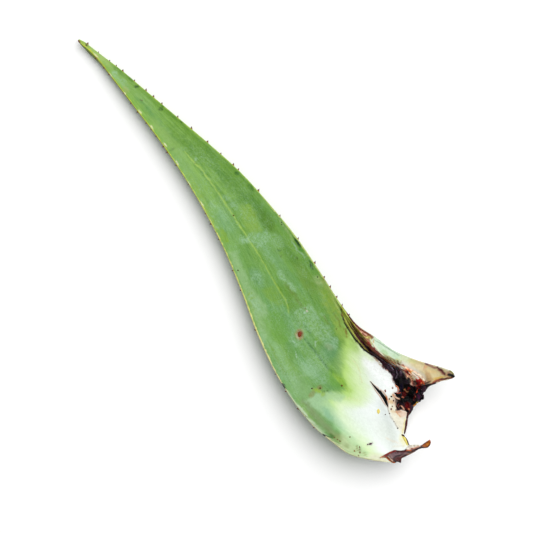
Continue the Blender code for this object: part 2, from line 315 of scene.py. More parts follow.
# %% Distances to lines, outlines and ovals
def near_line(pixel_x, pixel_y, line):
    """Distance to a broken line, and the share of its length at the nearest place."""
    points = np.array(line, dtype=float)
    lengths = np.hypot(*np.diff(points, axis=0).T)
    starts = np.concatenate([[0.0], np.cumsum(lengths)])
    best = np.full(np.shape(pixel_x), np.inf)
    share = np.zeros(np.shape(pixel_x))
    for start, end, before, length in zip(points, points[1:], starts, lengths):
        run = end - start
        t = ((pixel_x - start[0]) * run[0] + (pixel_y - start[1]) * run[1]) / length**2
        t = t.clip(0, 1)
        distance = np.hypot(pixel_x - start[0] - t * run[0], pixel_y - start[1] - t * run[1])
        closer = distance < best
        best = np.where(closer, distance, best)
        share = np.where(closer, (before + t * length) / starts[-1], share)
    return best, share


def within(pixel_x, pixel_y, outline):
    """Distance to a closed outline, positive inside: the sign is by counting crossings to the right."""
    points = list(outline) + [outline[0]]
    distance, _ = near_line(pixel_x, pixel_y, points)
    inside = np.zeros(np.shape(pixel_x), dtype=bool)
    for (x0, y0), (x1, y1) in zip(points, points[1:]):
        if y0 != y1:
            spans = (y0 > pixel_y) != (y1 > pixel_y)
            inside ^= spans & (pixel_x < x0 + (x1 - x0) * (pixel_y - y0) / (y1 - y0))
    return np.where(inside, distance, -distance)


def stroke(pixel_x, pixel_y, line, width, soft=0.6, taper=0.0):
    """1 on a line, 0 outside its width; with taper the line gets thin towards both ends."""
    distance, share = near_line(pixel_x, pixel_y, line)
    half = width / 2 * (1 - taper * (1 - np.sin(math.pi * share) ** 0.6))
    return 1 - smoothstep(half - soft, half + soft, distance)


def oval(pixel_x, pixel_y, centre, radii, angle=0.0, soft=0.4):
    """1 inside an oval turned by an angle in degrees, 0 outside, soft over a share of its radius."""
    c, s = math.cos(math.radians(angle)), math.sin(math.radians(angle))
    dx, dy = pixel_x - centre[0], pixel_y - centre[1]
    radius = np.hypot((dx * c + dy * s) / radii[0], (dy * c - dx * s) / radii[1])
    return 1 - smoothstep(1 - soft, 1 + soft, radius)


GRAIN_TABLE = 64


def grain(u, v, seed):
    """Smooth noise from 0 to 1: random numbers at whole places, blended between them."""
    table = np.random.default_rng(seed).random((GRAIN_TABLE, GRAIN_TABLE))
    i, j = np.floor(u).astype(int), np.floor(v).astype(int)
    s, t = smoothstep(0, 1, u - i), smoothstep(0, 1, v - j)
    i, j, i1, j1 = (n % GRAIN_TABLE for n in (i, j, i + 1, j + 1))
    low = table[i, j] * (1 - s) + table[i1, j] * s
    high = table[i, j1] * (1 - s) + table[i1, j1] * s
    return low * (1 - t) + high * t


print("from the pixel (3, 4) to a line down the left side:", near_line(3, 4, ((0, 0), (0, 9)))[0])

# %% The lines and outlines themselves, in photo pixels
VEIN = (
    (184.7, 151.8), (193, 161.4), (200.5, 168), (215, 188), (229, 209), (247, 237), (260.5, 257), (273, 280),
    (286, 301), (289, 313),
)
SIDE_VEIN = ((139, 101), (150, 112), (166, 126), (180, 141), (196, 158))
GROOVE = ((298, 321), (303, 328), (310, 333))
LOWER_GROOVE = ((304.6, 338.8), (321, 360), (329, 370), (338, 378.6), (344, 384))
PALE_BOUNDARY = (
    (339, 300), (342.6, 315), (345.6, 325), (346.4, 335), (343.6, 346), (340.4, 360), (343, 379.7),
    (347.6, 390.4), (328, 394.7), (323.6, 402), (331, 417), (339, 427), (346, 437), (355, 448), (364, 462),
    (380, 482), (450, 482), (470, 360), (380, 300),
)
CRACK_LEFT = (
    (342.6, 317), (344.5, 322), (346.5, 326), (349.3, 330.3), (351.7, 334), (354.5, 338.5), (357.5, 342.2),
    (361, 346), (364.5, 349.5), (367.5, 352), (371, 354.5), (375, 357), (379, 360),
)
FLESH_VALLEY = ((392, 362), (400, 371.5), (404.5, 378.5), (409.5, 386.5), (413, 392))
FLESH_RIDGE = ((401, 363), (411, 371.6), (418, 376.4), (425, 382))
RED_FOLD = (
    (364.6, 339.4), (368, 342.4), (371.4, 346.8), (375, 351), (379, 354.2), (384, 357.4), (390, 361.4),
)
LIME_STRAND = (
    (344.8, 318), (348.2, 325), (351.6, 330.8), (355.2, 336), (359.3, 341.3), (363.3, 345.9), (366.6, 349.4),
    (368.8, 351.8),
)
BROWN_STRAND = (
    (349.6, 319), (351.8, 325), (354.6, 329.6), (357.2, 333.8), (360, 338), (363, 342), (366.4, 346.2),
    (370.5, 350),
)
OLIVE_STRAND = ((351.6, 322.5), (355, 327), (358, 330), (361, 333.4), (364.2, 337))
DRIED_OUTLINE = (
    (341, 306), (342.4, 317), (344.5, 322), (349.3, 330.3), (354.5, 338.5), (361, 346), (367.5, 352),
    (375, 357), (384, 363), (392, 366), (390, 361), (384, 357), (379, 353.8), (375.4, 350), (372, 345),
    (370, 340), (374, 338), (372, 334), (362, 326), (352, 315), (345, 306),
)
CRUST_OUTLINE = (
    (365.6, 344.4), (368, 346.4), (370.6, 349), (373, 351.5), (376.4, 354.8), (380.2, 357.4), (384.2, 360),
    (388.2, 362.6), (391.4, 365.2), (396, 367.8), (400, 369.8), (403.5, 372.5), (405, 376), (407, 380),
    (409.5, 384), (413, 386.3), (417, 386.5), (421, 386), (425, 384.8), (429.5, 384.5), (427.3, 389),
    (423.5, 393.5), (424, 398.4), (420, 401.3), (416.5, 404.2), (413.8, 407.5), (411, 413), (408.5, 416),
    (407.6, 413), (405, 411.2), (400.5, 409.8), (397, 411), (396, 405.5), (397.2, 402), (396.8, 399.5),
    (399, 398), (395.5, 396), (394.5, 392.6), (398, 392.4), (399.4, 390), (397.8, 387.2), (395, 384.5),
    (394, 381.5), (392.8, 380), (393, 377), (392.3, 375), (390, 372.5), (387, 369.5), (384, 366.5),
    (381, 362.5), (378, 360), (374.5, 357), (371.4, 355), (370, 352.8), (368, 348.8),
)
SLIT = ((370.3, 381.6), (374, 386), (378, 390.5), (381.5, 394), (384, 397.5), (385.6, 401), (387.9, 407))
SLIT_TAIL = ((387.9, 407), (390, 415), (394, 422), (397.7, 428.2))
FOLD = ((379, 405), (384, 418), (388, 434), (391, 448))
print("lines and outlines are listed")

# %% [markdown]
# ## The skin
# The skin is one closed grid. Its rows run from the tip to the torn edge, and each row is a ring: over
# the hollow face, round the left margin, back under the belly and round the right margin. A subdivided
# block could not follow the crack and the torn edge. The grid can, because its columns gather where
# the crack is, and its rows bend until the last one lies on the torn edge.

# %% Rows, columns and the torn edge
BLADE_ROWS = 262
BASE_ROWS = 236
BASE_START_X = -90.0
FACE_STEPS = 120
ARC_STEPS = 7
WING_COLUMNS = 0.27  # share of the columns on the wing, in the base
CRACK_COLUMNS = 0.45  # the crack's columns end at this share
SLIT_COLUMNS = (0.2, 0.52)  # shares of the sheath's columns around the slit
SLIT_REACH = 4.0  # mm on both sides of the slit where its columns lie
SLIT_START_X, SLIT_END_X = (-140.0, -162.0), (-222.0, -204.0)  # where the columns gather and part again
SPLIT_X = (-50.0, -115.0)  # where the blade's columns turn into those of the wing, crack and sheath
EVEN_COLUMNS = 0.55  # the rest crowds towards the margins
EDGE_FADE = 1.4
TIP_ROUND = 1.3
TIP_RINGS = 6
TEAR_ROUGHNESS = 1.1
TEAR_JAGS, FINE_JAGS = 22, 61  # jags over half the width


def slit_share(plain_x):
    """v of the slit, and how much the columns gather there."""
    slit_x, slit_y = from_photo(*np.array(SLIT)[[0, -1]].T)
    y = np.interp(plain_x, slit_x[::-1], slit_y[::-1])
    gather = smoothstep(*SLIT_START_X, plain_x) * smoothstep(*SLIT_END_X, plain_x)
    return across(plain_x, y), gather


def skin_columns(plain_x):
    """Shares v of a row's columns: even in the blade, gathered in the wing, the crack and the slit."""
    w = np.linspace(-1, 1, FACE_STEPS + 1)[None, :]
    even = EVEN_COLUMNS * w + (1 - EVEN_COLUMNS) * np.sin(math.pi * w / 2)
    middle, half_width = (value[:, None] for value in crack_line(plain_x))
    share = (w + 1) / 2
    wing = -1 + share / WING_COLUMNS * (middle - half_width + 1)
    into_crack = (share - WING_COLUMNS) / (CRACK_COLUMNS - WING_COLUMNS)
    crack = middle - half_width + into_crack * 2 * half_width
    start = middle + half_width
    beyond = ((share - CRACK_COLUMNS) / (1 - CRACK_COLUMNS)).clip(0, 1)
    sheath = start + beyond * (1 - start)
    slit_v, gather = (value[:, None] for value in slit_share(plain_x))
    reach = 2 * SLIT_REACH / leaf_width(plain_x)[:, None]
    before, after = slit_v - reach, slit_v + reach
    low, high = SLIT_COLUMNS
    in_slit = before + (beyond - low) / (high - low) * 2 * reach
    past_slit = after + (beyond - high) / (1 - high) * (1 - after)
    near_slit = np.where(beyond < high, in_slit, past_slit)
    near_slit = np.where(beyond < low, start + beyond / low * (before - start), near_slit)
    sheath = sheath * (1 - gather) + near_slit * gather
    split = np.where(share < WING_COLUMNS, wing, np.where(share < CRACK_COLUMNS, crack, sheath))
    at_base = smoothstep(*SPLIT_X, plain_x)[:, None]
    return even * (1 - at_base) + split * at_base


def tear_x(v):
    """x of the torn edge at v, with small and smaller jags."""
    edge = np.array(TORN_EDGE)
    edge_v = across(edge[:, 0], edge[:, 1]).clip(-1, 1)
    edge_v[0], edge_v[-1] = -1.0, 1.0
    jags = grain(v * TEAR_JAGS, v * 0 + 0.5, 3) + 0.5 * grain(v * FINE_JAGS, v * 0 + 0.5, 4) - 0.75
    return np.interp(v, edge_v, edge[:, 0]) + TEAR_ROUGHNESS * jags


def skin_places():
    """x and v of every point of the hollow face, row by row."""
    blade = np.linspace(TIP_X, BASE_START_X, BLADE_ROWS, endpoint=False)
    base = np.linspace(BASE_START_X, EDGE_MEAN_X, BASE_ROWS)
    plain_x = np.concatenate([blade, base])
    v = skin_columns(plain_x)
    along = (TIP_X - plain_x) / (TIP_X - EDGE_MEAN_X)
    fade = ((along - 1 + EDGE_REACH) / EDGE_REACH).clip(0, 1)[:, None] ** EDGE_FADE
    return plain_x[:, None] + (tear_x(v) - EDGE_MEAN_X) * fade, v


skin_x, skin_v = skin_places()
print("hollow face:", skin_x.shape, "points")

# %% [markdown]
# The margins of the real leaf are thin and round. Each ring therefore stops a little inside the margin
# and goes round it in an elliptic arc. The fine relief, which is the scars, the slit and the wrinkled
# skin of the wing, is added to the height of the hollow face before the arcs are made.


# %% Fine relief of the hollow face
# a line, its width, soft edge and taper in pixels, and the height in mm that it adds
RELIEF_LINES = (
    (VEIN, 2.6, 1.2, 0.5, -0.16),
    (SIDE_VEIN, 5.0, 2.5, 0.9, -0.25),
    (LOWER_GROOVE, 3.0, 1.5, 0.8, -0.35),
    (FOLD, 9.0, 4.5, 0.7, -0.9),
    (CRACK_LEFT, 1.6, 0.8, 0.7, -1.0),
    (LIME_STRAND, 2.0, 0.8, 0.5, 0.7),
    (OLIVE_STRAND, 2.0, 0.8, 0.5, 0.6),
    (BROWN_STRAND, 2.0, 0.8, 0.5, -0.7),
    (RED_FOLD, 3.0, 1.0, 0.4, 1.3),
    (FLESH_RIDGE, 9.0, 4.5, 0.5, -3.6),
)
FLESH_FILL = 7.0  # the torn flesh fills the crack's end
SLIT_DEPTH, SLIT_LIP = 3.0, 0.4
SCAR_PLACE, SCAR_RADII = (299.6, 334.6), (3.9, 4.7)
SCAR_RIM, SCAR_FLOOR = 0.3, 0.25
STRAND_RISE = 0.6
BROAD_WAVE, SHORT_WAVE = 0.35, 0.18  # the skin is never quite even


def seen_at(points):
    """Photo pixel of points given in mm, by the camera's perspective."""
    x, y, z = np.moveaxis(points, -1, 0)
    nearness = CAMERA_DISTANCE / (CAMERA_DISTANCE - (z - VIEW_CENTRE[2]))
    x = VIEW_CENTRE[0] + (x + CENTRING[0] - VIEW_CENTRE[0]) * nearness
    y = VIEW_CENTRE[1] + (y + CENTRING[1] - VIEW_CENTRE[1]) * nearness
    return to_photo(x, y)


def slit_shape(pixel_x, pixel_y):
    """1 in the middle of the slit, 0 at its edge, negative outside: narrow first, widest past its middle."""
    distance, share = near_line(pixel_x, pixel_y, SLIT)
    half = 0.3 + 1.2 * np.sin(math.pi * share**1.6) ** 0.8
    return 1 - distance / half


def dried_wing(pixel_x, pixel_y):
    """How much the wing is dried to brown fibres."""
    return smoothstep(-0.8, 0.8, within(pixel_x, pixel_y, DRIED_OUTLINE))


def face_relief(x, v, pixel_x, pixel_y):
    """Height in mm to add to the hollow face."""
    relief = BROAD_WAVE * (grain(x / 34, v * 2.1, 11) - 0.5) + SHORT_WAVE * (grain(x / 15, v * 5.2, 12) - 0.5)
    for line, width, soft, taper, height in RELIEF_LINES:
        relief += height * stroke(pixel_x, pixel_y, line, width, soft, taper)
    in_crack = smoothstep(0.8, 1.05, wing_share(x, v))
    relief += FLESH_FILL * stroke(pixel_x, pixel_y, FLESH_VALLEY, 9.0, 4.5, 0.4) * in_crack
    slit = slit_shape(pixel_x, pixel_y)
    relief += SLIT_LIP * np.exp(-(((slit + 0.6) / 0.5) ** 2)) - SLIT_DEPTH * slit.clip(0, 1) ** 0.6
    scar = np.hypot(*((p - c) / r for p, c, r in zip((pixel_x, pixel_y), SCAR_PLACE, SCAR_RADII)))
    relief += SCAR_RIM * np.exp(-(((scar - 1.0) / 0.3) ** 2)) - SCAR_FLOOR * np.exp(-((scar / 0.7) ** 2))
    strands = grain(x / 21, v * 46, 13) + 0.5 * grain(x / 9, v * 95, 14) - 0.75
    relief += STRAND_RISE * dried_wing(pixel_x, pixel_y) * strands
    return relief


print("lines in the relief:", len(RELIEF_LINES))


# %% Rings over the face, round the margins and under the belly
ARC_REACH = 0.9  # depth of the margins' arcs as a share of their thickness
RELIEF_EASE = 3.0  # mm from the margin in which the relief fades in


def skin_rings(x, v):
    """Rings as an array of rows, columns and x y z, with the side: 0 on the face and 1 underneath."""
    width = leaf_width(x)
    inset = ARC_REACH * smooth_curve(x, MARGIN_EDGE) / width
    v_in = v * (1 - inset)
    upper, under = leaf_faces(x, v_in)
    pixel_x, pixel_y = seen_at(upper)
    inside = smoothstep(0.0, RELIEF_EASE, (1 - np.abs(v)) * width / 2)
    upper[..., 2] += face_relief(x, v_in, pixel_x, pixel_y) * inside
    bands, sides = [upper], [np.zeros(upper.shape[1])]
    turn = np.linspace(0, 1, ARC_STEPS + 1)[1:-1]
    under = under[:, ::2]
    for end, sign in ((-1, 1.0), (0, -1.0)):
        top, bottom = upper[:, end, None], under[:, end, None]
        middle, half = (top + bottom) / 2, (top - bottom) / 2
        out = np.zeros_like(middle)
        out[..., 1] = (sign * inset * width / 2)[:, end, None]
        angle = math.pi * turn[None, :, None]
        arc = middle + half * np.cos(angle) + out * np.sin(angle)
        bands.append(arc if sign > 0 else arc[:, ::-1])
        sides.append(turn if sign > 0 else turn[::-1])
        if sign > 0:
            bands.append(under[:, ::-1])
            sides.append(np.ones(under.shape[1]))
    return np.concatenate(bands, axis=1), np.concatenate(sides)


rings, ring_side = skin_rings(skin_x, skin_v)
half_v = skin_v[:, ::2]
arc_v = np.ones((len(skin_v), ARC_STEPS - 1))
ring_v = np.concatenate([skin_v, arc_v, half_v[:, ::-1], -arc_v], axis=1)
print("rings:", rings.shape)

# %% [markdown]
# The last ring is closed by a wall, which is the torn flesh. The wall shares its outer columns with the
# arcs of the margins, and it is pulled in a little between its edges, as flesh that has dried. At the
# tip the rings shrink to one point, so the tip is round.


# %% The torn wall and the round tip
UNDER_STEPS = FACE_STEPS // 2
UNDER_START = FACE_STEPS + ARC_STEPS  # the ring's first point beneath
WALL_HOLLOW = 0.16  # share of the wall's height by which dry flesh has sunk in
WALL_ROUGHNESS = 1.3
WALL_EASE = 5  # columns from the margin in which both fade in


def torn_wall(last_ring):
    """Points between the upper and the lower edge of the tear, without the shared outer columns."""
    upper = last_ring[: FACE_STEPS + 1]
    half_under = last_ring[UNDER_START : UNDER_START + UNDER_STEPS + 1][::-1]
    places = np.arange(FACE_STEPS + 1) / 2
    under = np.stack([np.interp(places, np.arange(len(half_under)), half_under[:, i]) for i in range(3)], -1)
    down = np.linspace(0, 1, ARC_STEPS + 1)[1:-1, None, None]
    wall = upper * (1 - down) + under * down
    j = np.arange(FACE_STEPS + 1)[None, :]
    rough = grain(j / 1.7 + 0 * down[..., 0], down[..., 0] * 5, 21) + grain(j / 4.1, down[..., 0] * 3, 22) - 1
    height = np.hypot(*(upper - under)[:, 1:].T)[None, :]
    ease = smoothstep(0, WALL_EASE, j) * smoothstep(0, WALL_EASE, FACE_STEPS - j)
    wall[..., 0] += ease * (WALL_HOLLOW * height * np.sin(math.pi * down[..., 0]) + WALL_ROUGHNESS * rough)
    return wall[:, 1:-1]


def round_tip(first_ring):
    """Rings that shrink along a quarter circle towards a point ahead of the tip."""
    centre = first_ring.mean(axis=0)
    turn = np.linspace(0, math.pi / 2, TIP_RINGS + 1)[1:-1, None, None]
    caps = centre + (first_ring - centre) * np.cos(turn)
    caps[..., 0] = first_ring[:, 0] + TIP_ROUND * np.sin(turn[..., 0])
    point = centre.copy()
    point[0] = TIP_X + TIP_ROUND
    return caps[::-1], point


# a pixel of the horn, how far it moves to the right and down, and the reach of the move, in pixels
NUDGES = (
    ((450.0, 373.0), (0.9, -1.5), 3.6),
    ((442.0, 369.0), (0.3, -1.0), 5.0),
    ((458.5, 377.5), (-3.4, -0.2), 3.0),
    ((441.0, 381.5), (0.0, -0.8), 5.0),
)


def nudged(points):
    """Points of the horn moved a little, where the photo shows it fuller or shorter."""
    u, v = seen_at(points)
    moved = points.copy()
    for (centre_u, centre_v), (right, down), reach in NUDGES:
        share = np.exp(-((u - centre_u) ** 2 + (v - centre_v) ** 2) / (2 * reach**2))
        moved[..., 0] -= PIXEL * DIAGONAL * (right + down) * share
        moved[..., 1] += PIXEL * DIAGONAL * (down - right) * share
    return moved


rings = nudged(rings)
wall = torn_wall(rings[-1])
caps, tip_point = round_tip(rings[0])
all_rings = np.concatenate([caps, rings])
print("wall:", wall.shape, "tip rings:", len(caps))


# %% Faces of the closed skin
def grid_quads(index):
    """Quads between the neighbours of a table of point numbers."""
    return np.stack([index[:-1, :-1], index[:-1, 1:], index[1:, 1:], index[1:, :-1]], -1).reshape(-1, 4)


def skin_faces(ring_count, ring_size, wall_shape):
    """Quads of the rings and the wall, triangles at the tip, five-sided faces under the wall."""
    index = np.arange(ring_count * ring_size).reshape(ring_count, ring_size)
    closed = np.concatenate([index, index[:, :1]], axis=1)
    rings_part = grid_quads(closed)
    wall_index = index.size + np.arange(wall_shape[0] * wall_shape[1]).reshape(wall_shape[:2])
    last = index[-1]
    left_arc = last[FACE_STEPS + 1 : FACE_STEPS + ARC_STEPS]
    right_arc = last[-(ARC_STEPS - 1) :][::-1]
    table = np.concatenate([right_arc[:, None], wall_index, left_arc[:, None]], axis=1)
    table = np.concatenate([last[None, : FACE_STEPS + 1], table])
    wall_part = grid_quads(table)
    below = last[UNDER_START : UNDER_START + UNDER_STEPS + 1][::-1]
    row = table[-1]
    fives = np.stack([row[:-2:2], row[1:-1:2], row[2::2], below[1:], below[:-1]], -1)
    tip = index.size + wall_shape[0] * wall_shape[1]
    first = closed[0]
    threes = np.stack([np.full(ring_size, tip), first[1:], first[:-1]], -1)
    return [rings_part, wall_part, fives, threes]


face_groups = skin_faces(*all_rings.shape[:2], wall.shape)
skin_points = np.concatenate([all_rings.reshape(-1, 3), wall.reshape(-1, 3), tip_point[None, :]])
print("faces:", [len(group) for group in face_groups], "points:", len(skin_points))


# %% Making a piece from arrays
def outward(points, groups):
    """The face groups, turned over if the volume that they close is negative."""
    volume = 0.0
    for group in groups:
        a = points[group[:, 0]]
        for i in range(1, group.shape[1] - 1):
            volume += np.einsum("ij,ij->", a, np.cross(points[group[:, i]], points[group[:, i + 1]]))
    return groups if volume > 0 else [group[:, ::-1] for group in groups]


def new_piece(name, points, groups, values=None, material=None):
    """Mesh object from points in mm, groups of faces, and named values or colours for its points."""
    groups = outward(points, [np.asarray(group) for group in groups])
    shifted = (points + np.array([*CENTRING, 0.0])) * MM
    mesh = bpy.data.meshes.new(name)
    mesh.from_pydata(shifted.tolist(), [], [face for group in groups for face in group.tolist()])
    for key, value in (values or {}).items():
        if np.ndim(value) == 2:
            rgba = np.concatenate([value, np.ones((len(value), 1))], axis=1).astype(np.float32)
            mesh.attributes.new(key, "FLOAT_COLOR", "POINT").data.foreach_set("color", rgba.ravel())
        else:
            layer = mesh.attributes.new(key, "FLOAT", "POINT")
            layer.data.foreach_set("value", np.asarray(value, dtype=np.float32).ravel())
    mesh.shade_smooth()
    piece = bpy.data.objects.new(name, mesh)
    scene.collection.objects.link(piece)
    if material:
        mesh.materials.append(material)
    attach(piece, "root")
    return piece, groups


print("piece maker is ready")

# %% [markdown]
# ## What lies where on the skin
# The material needs to know where it is on the leaf: how far from the margin, on the face or on the
# back, how far past the border of the white base, how deep in the crack. Numbers of that kind are kept
# on the points of the mesh, and they follow the surface wherever it goes, also into other programs.


# %% Place of every point: pixel, share across, side and distance to the margin
def with_wall(ring_values, wall_values, tip_value):
    """One flat row of numbers in the order of the skin's points."""
    return np.concatenate([np.ravel(ring_values), np.ravel(wall_values), [tip_value]])


def margin_distance(points):
    """Length to the nearer margin, negative underneath, and from the middles of the face and the back."""
    closed = np.concatenate([points, points[:, :1]], axis=1)
    steps = np.linalg.norm(np.diff(closed, axis=1), axis=2)
    length = np.concatenate([np.zeros((len(points), 1)), np.cumsum(steps, axis=1)], axis=1)
    total = length[:, -1:]
    length = length[:, :-1]
    middle = FACE_STEPS + (ARC_STEPS - 1) // 2
    left = (length[:, middle] + length[:, middle + 1])[:, None] / 2
    middle = points.shape[1] - (ARC_STEPS - 1) // 2
    right = (length[:, middle - 1] + length[:, middle])[:, None] / 2
    on_face = np.minimum(left - length, length - (right - total))
    beneath = np.minimum(length - left, right - length)
    after_right = length > right
    on_face = np.where(after_right, length - right, on_face)
    is_face = (length <= left) | after_right
    under_middle = (left + right) / 2
    from_top = np.where(length > under_middle, length - total, length) - (left + right - total) / 2
    return np.where(is_face, on_face, -beneath), from_top, length - under_middle


edge_mm, top_mm, under_mm = margin_distance(all_rings)
ring_v_all = np.concatenate([np.repeat(ring_v[:1], len(caps), axis=0), ring_v])
side_all = np.broadcast_to(ring_side, ring_v_all.shape)
wall_v = np.broadcast_to(skin_v[-1, 1:-1], wall.shape[:2])
wall_down = np.broadcast_to(np.linspace(0, 1, ARC_STEPS + 1)[1:-1, None], wall.shape[:2])

spot_x, spot_y = seen_at(skin_points)
place_x = skin_points[:, 0]
place_v = with_wall(ring_v_all, wall_v, 0.0)
side = with_wall(side_all, wall_down, 0.5)
margin = with_wall(edge_mm, wall_v * 0, 0.0)
torn = with_wall(ring_v_all * 0, wall_v * 0 + 1, 0.0)
on_face = 1 - smoothstep(0.1, 0.5, side)
print("margin distance, mm:", margin.min().round(1), "to", margin.max().round(1))

# %% [markdown]
# ## Brushes
# The torn base is like a small painting: strands, stains and flecks of a dozen colours. It is painted
# here stroke by stroke, each with a colour, a width and a place on the photo, laid over the ones before
# it. Strokes were chosen and not noise alone, because these marks are single events of the tearing. The
# places are shaken a little before painting, so that no edge is drawn with a ruler.


# %% Colours and brushes
LIGHT_LEVEL = 1.22  # how bright a flat white thing looks in this light
VEIL = 0.04  # white light that the waxy shine lays over every colour


def paint(code):
    """Colour that looks like a screen colour, such as "#ff8800", when it lies in the light of the table."""
    share = np.array([int(code[i : i + 2], 16) for i in (1, 3, 5)]) / 255
    linear = np.where(share <= 0.04045, share / 12.92, ((share + 0.055) / 1.055) ** 2.4)
    return (*((linear - VEIL).clip(0.002, 1) / LIGHT_LEVEL).tolist(), 1.0)


def tinted(colour):
    """A screen colour mixed as paint; four values are paint already."""
    return paint(colour) if isinstance(colour, str) else colour


def line(colour, width, *points, share=1.0, taper=0.4, soft=0.6):
    """A stroke along a line of pixels, thinner towards its ends."""
    return tinted(colour), lambda u, v: share * stroke(u, v, points, width, soft, taper)


def band(colour, width, *points, share=1.0, soft=0.6):
    """A stroke that keeps most of its width to its ends."""
    return line(colour, width, *points, share=share, taper=0.2, soft=soft)


def spot(colour, centre, radii, angle=0.0, share=1.0, soft=0.35):
    """An oval dab, turned by an angle in degrees."""
    return tinted(colour), lambda u, v: share * oval(u, v, centre, radii, angle, soft)


def haze(colour, centre, radii, angle, share):
    """An oval dab with a wide soft edge."""
    return spot(colour, centre, radii, angle, share, soft=0.6)


def area(colour, soft, *outline, share=1.0):
    """A filled outline with an edge this soft."""
    return tinted(colour), lambda u, v: share * smoothstep(-soft, soft, within(u, v, outline))


def laid(u, v, layers):
    """Colour times share, and the share, of all layers laid over each other in turn."""
    colour, share = np.zeros((len(u), 3)), np.zeros(len(u))
    for tint, amount in layers:
        part = amount(u, v).clip(0, 1)
        colour = colour * (1 - part)[:, None] + np.array(tint[:3]) * part[:, None]
        share = 1 - (1 - share) * (1 - part)
    return colour, share


SHAKE_FINER = 2.3  # a second noise with this many times the waves makes the shaking less even


def shaken(pixel_x, pixel_y, size, wave, seed):
    """The same places, moved by smooth noise of this size and wavelength in pixels."""

    def move(first_seed):
        broad = grain(pixel_x / wave, pixel_y / wave, first_seed)
        fine = grain(pixel_x * SHAKE_FINER / wave, pixel_y * SHAKE_FINER / wave, first_seed + 1)
        return size * (broad + 0.5 * fine - 0.75)

    return pixel_x + move(seed), pixel_y + move(seed + 2)


SAP = paint("#1e1820")
IVORY = paint("#f0eed4")
# cream of the sheath right of the slit, painted lighter than its own colour to offset the shade of its slope
SHADE_LIFTED_CREAM = paint("#fcf8e2")
MINT = paint("#d6ecd2")
BRIGHT = (0.96, 1.0, 0.98, 1.0)  # for white skin that leans away from the light
print("brushes are ready")

# %% Layers of the wing: mint strip, cream, horn, dried strands and the red fold
MINT_STRIP = (
    area(MINT, 1, (364, 334), (370, 334), (376, 336), (401, 351.2), (408, 354), (406, 366), (397, 366),
         (389, 363), (382, 358), (376, 352), (370, 345)),
    spot("#b6d8a0", (384.5, 352.6), (4.4, 2.6), 35, 0.7),
    spot("#bedeb0", (397, 357), (6, 2), 30, 0.5),
    spot("#c8e2be", (380, 347), (3, 2), 40, 0.5),
    line("#8ca68a", 1.1, (375.6, 340.4), (401.6, 357), share=0.85),
    line("#a8baa4", 1, (378, 338.8), (394, 348.8), (401, 352.8), share=0.7),
    line("#967884", 1.2, (399.6, 352.8), (405.4, 355.8), share=0.8),
    spot("#c4bc80", (391, 358.6), (4.6, 1.7), 35, 0.7),
    spot("#bebe78", (398.4, 360.6), (3.4, 1.5), 35, 0.7),
)
HORN_PAINT = (
    area("#d8e2ba", 3, (400, 350), (424, 360), (420, 370), (410, 368), (400, 364)),
    area("#dccd9c", 2.6, (411, 357), (436, 365), (449, 368.5), (459, 376.5), (447, 381), (436, 384),
         (430, 387), (424, 388), (420, 380), (408, 366)),
    band("#e0dcce", 6, (401, 363.5), (408, 367), (416, 372), (423, 378), (427, 383), share=0.9, soft=2.4),
    spot("#d6d896", (412, 361.4), (5, 2), 22, 0.7),
    spot("#e8dab0", (420, 367.6), (4, 3), 22, 0.5),
    # painted shade: darker tan along the horn's fold
    area("#be9868", 1.6, (424, 369.6), (430, 373), (433.4, 380), (430, 383.4), (426.6, 383), (425.8, 377),
         share=0.8),
    spot("#e2b082", (425.6, 367), (1.9, 2.2), -20, 0.8),
    line("#ca967c", 0.9, (424.4, 365.6), (423.2, 370.4), share=0.8),
    spot("#e8c88c", (432, 371.4), (5, 1.4), 15, 0.6),
    spot("#d6b25c", (439, 378), (6, 1.4), -8, 0.9),
    line("#d4d4ba", 3, (437, 365.6), (444, 367.8), (450, 370.6), share=0.85, soft=1.2),
    band("#aa8272", 3, (426, 363.2), (430, 365.6), (436, 367.8), share=0.95),
    band("#74545c", 1.5, (425.8, 362.8), (428.4, 364.6)),
    band("#642c3e", 2.6, (437.4, 367.6), (441, 370), (444, 372.8), (446, 375.4)),
    line("#965454", 1.5, (437, 369.4), (443.6, 374.4), share=0.8),
    spot("#cea076", (447.4, 375.4), (2, 1.8), 20, 0.95),
    spot("#bc8e7c", (448.6, 372.6), (2.4, 1.2), 30, 0.9),
    line("#848046", 1.6, (449.6, 370.2), (452, 372.4), (454, 375)),
    line("#3a1a28", 2.6, (448.6, 374.6), (456, 376.6), taper=0),
    spot("#120a0e", (454.6, 376.6), (1.8, 1.4)),
    line("#863e14", 2, (452, 377.6), (446, 379), (440, 379.9), (435, 382), (430, 384.6), taper=0),
    line("#b26828", 1, (441, 378.8), (436, 380), (432.6, 382), taper=0.3),
    line("#501608", 1.2, (450, 378.6), (440, 379.2), taper=0.3),
    band("#240c0a", 2, (436, 383), (430, 385.4), (423, 386.6)),
)
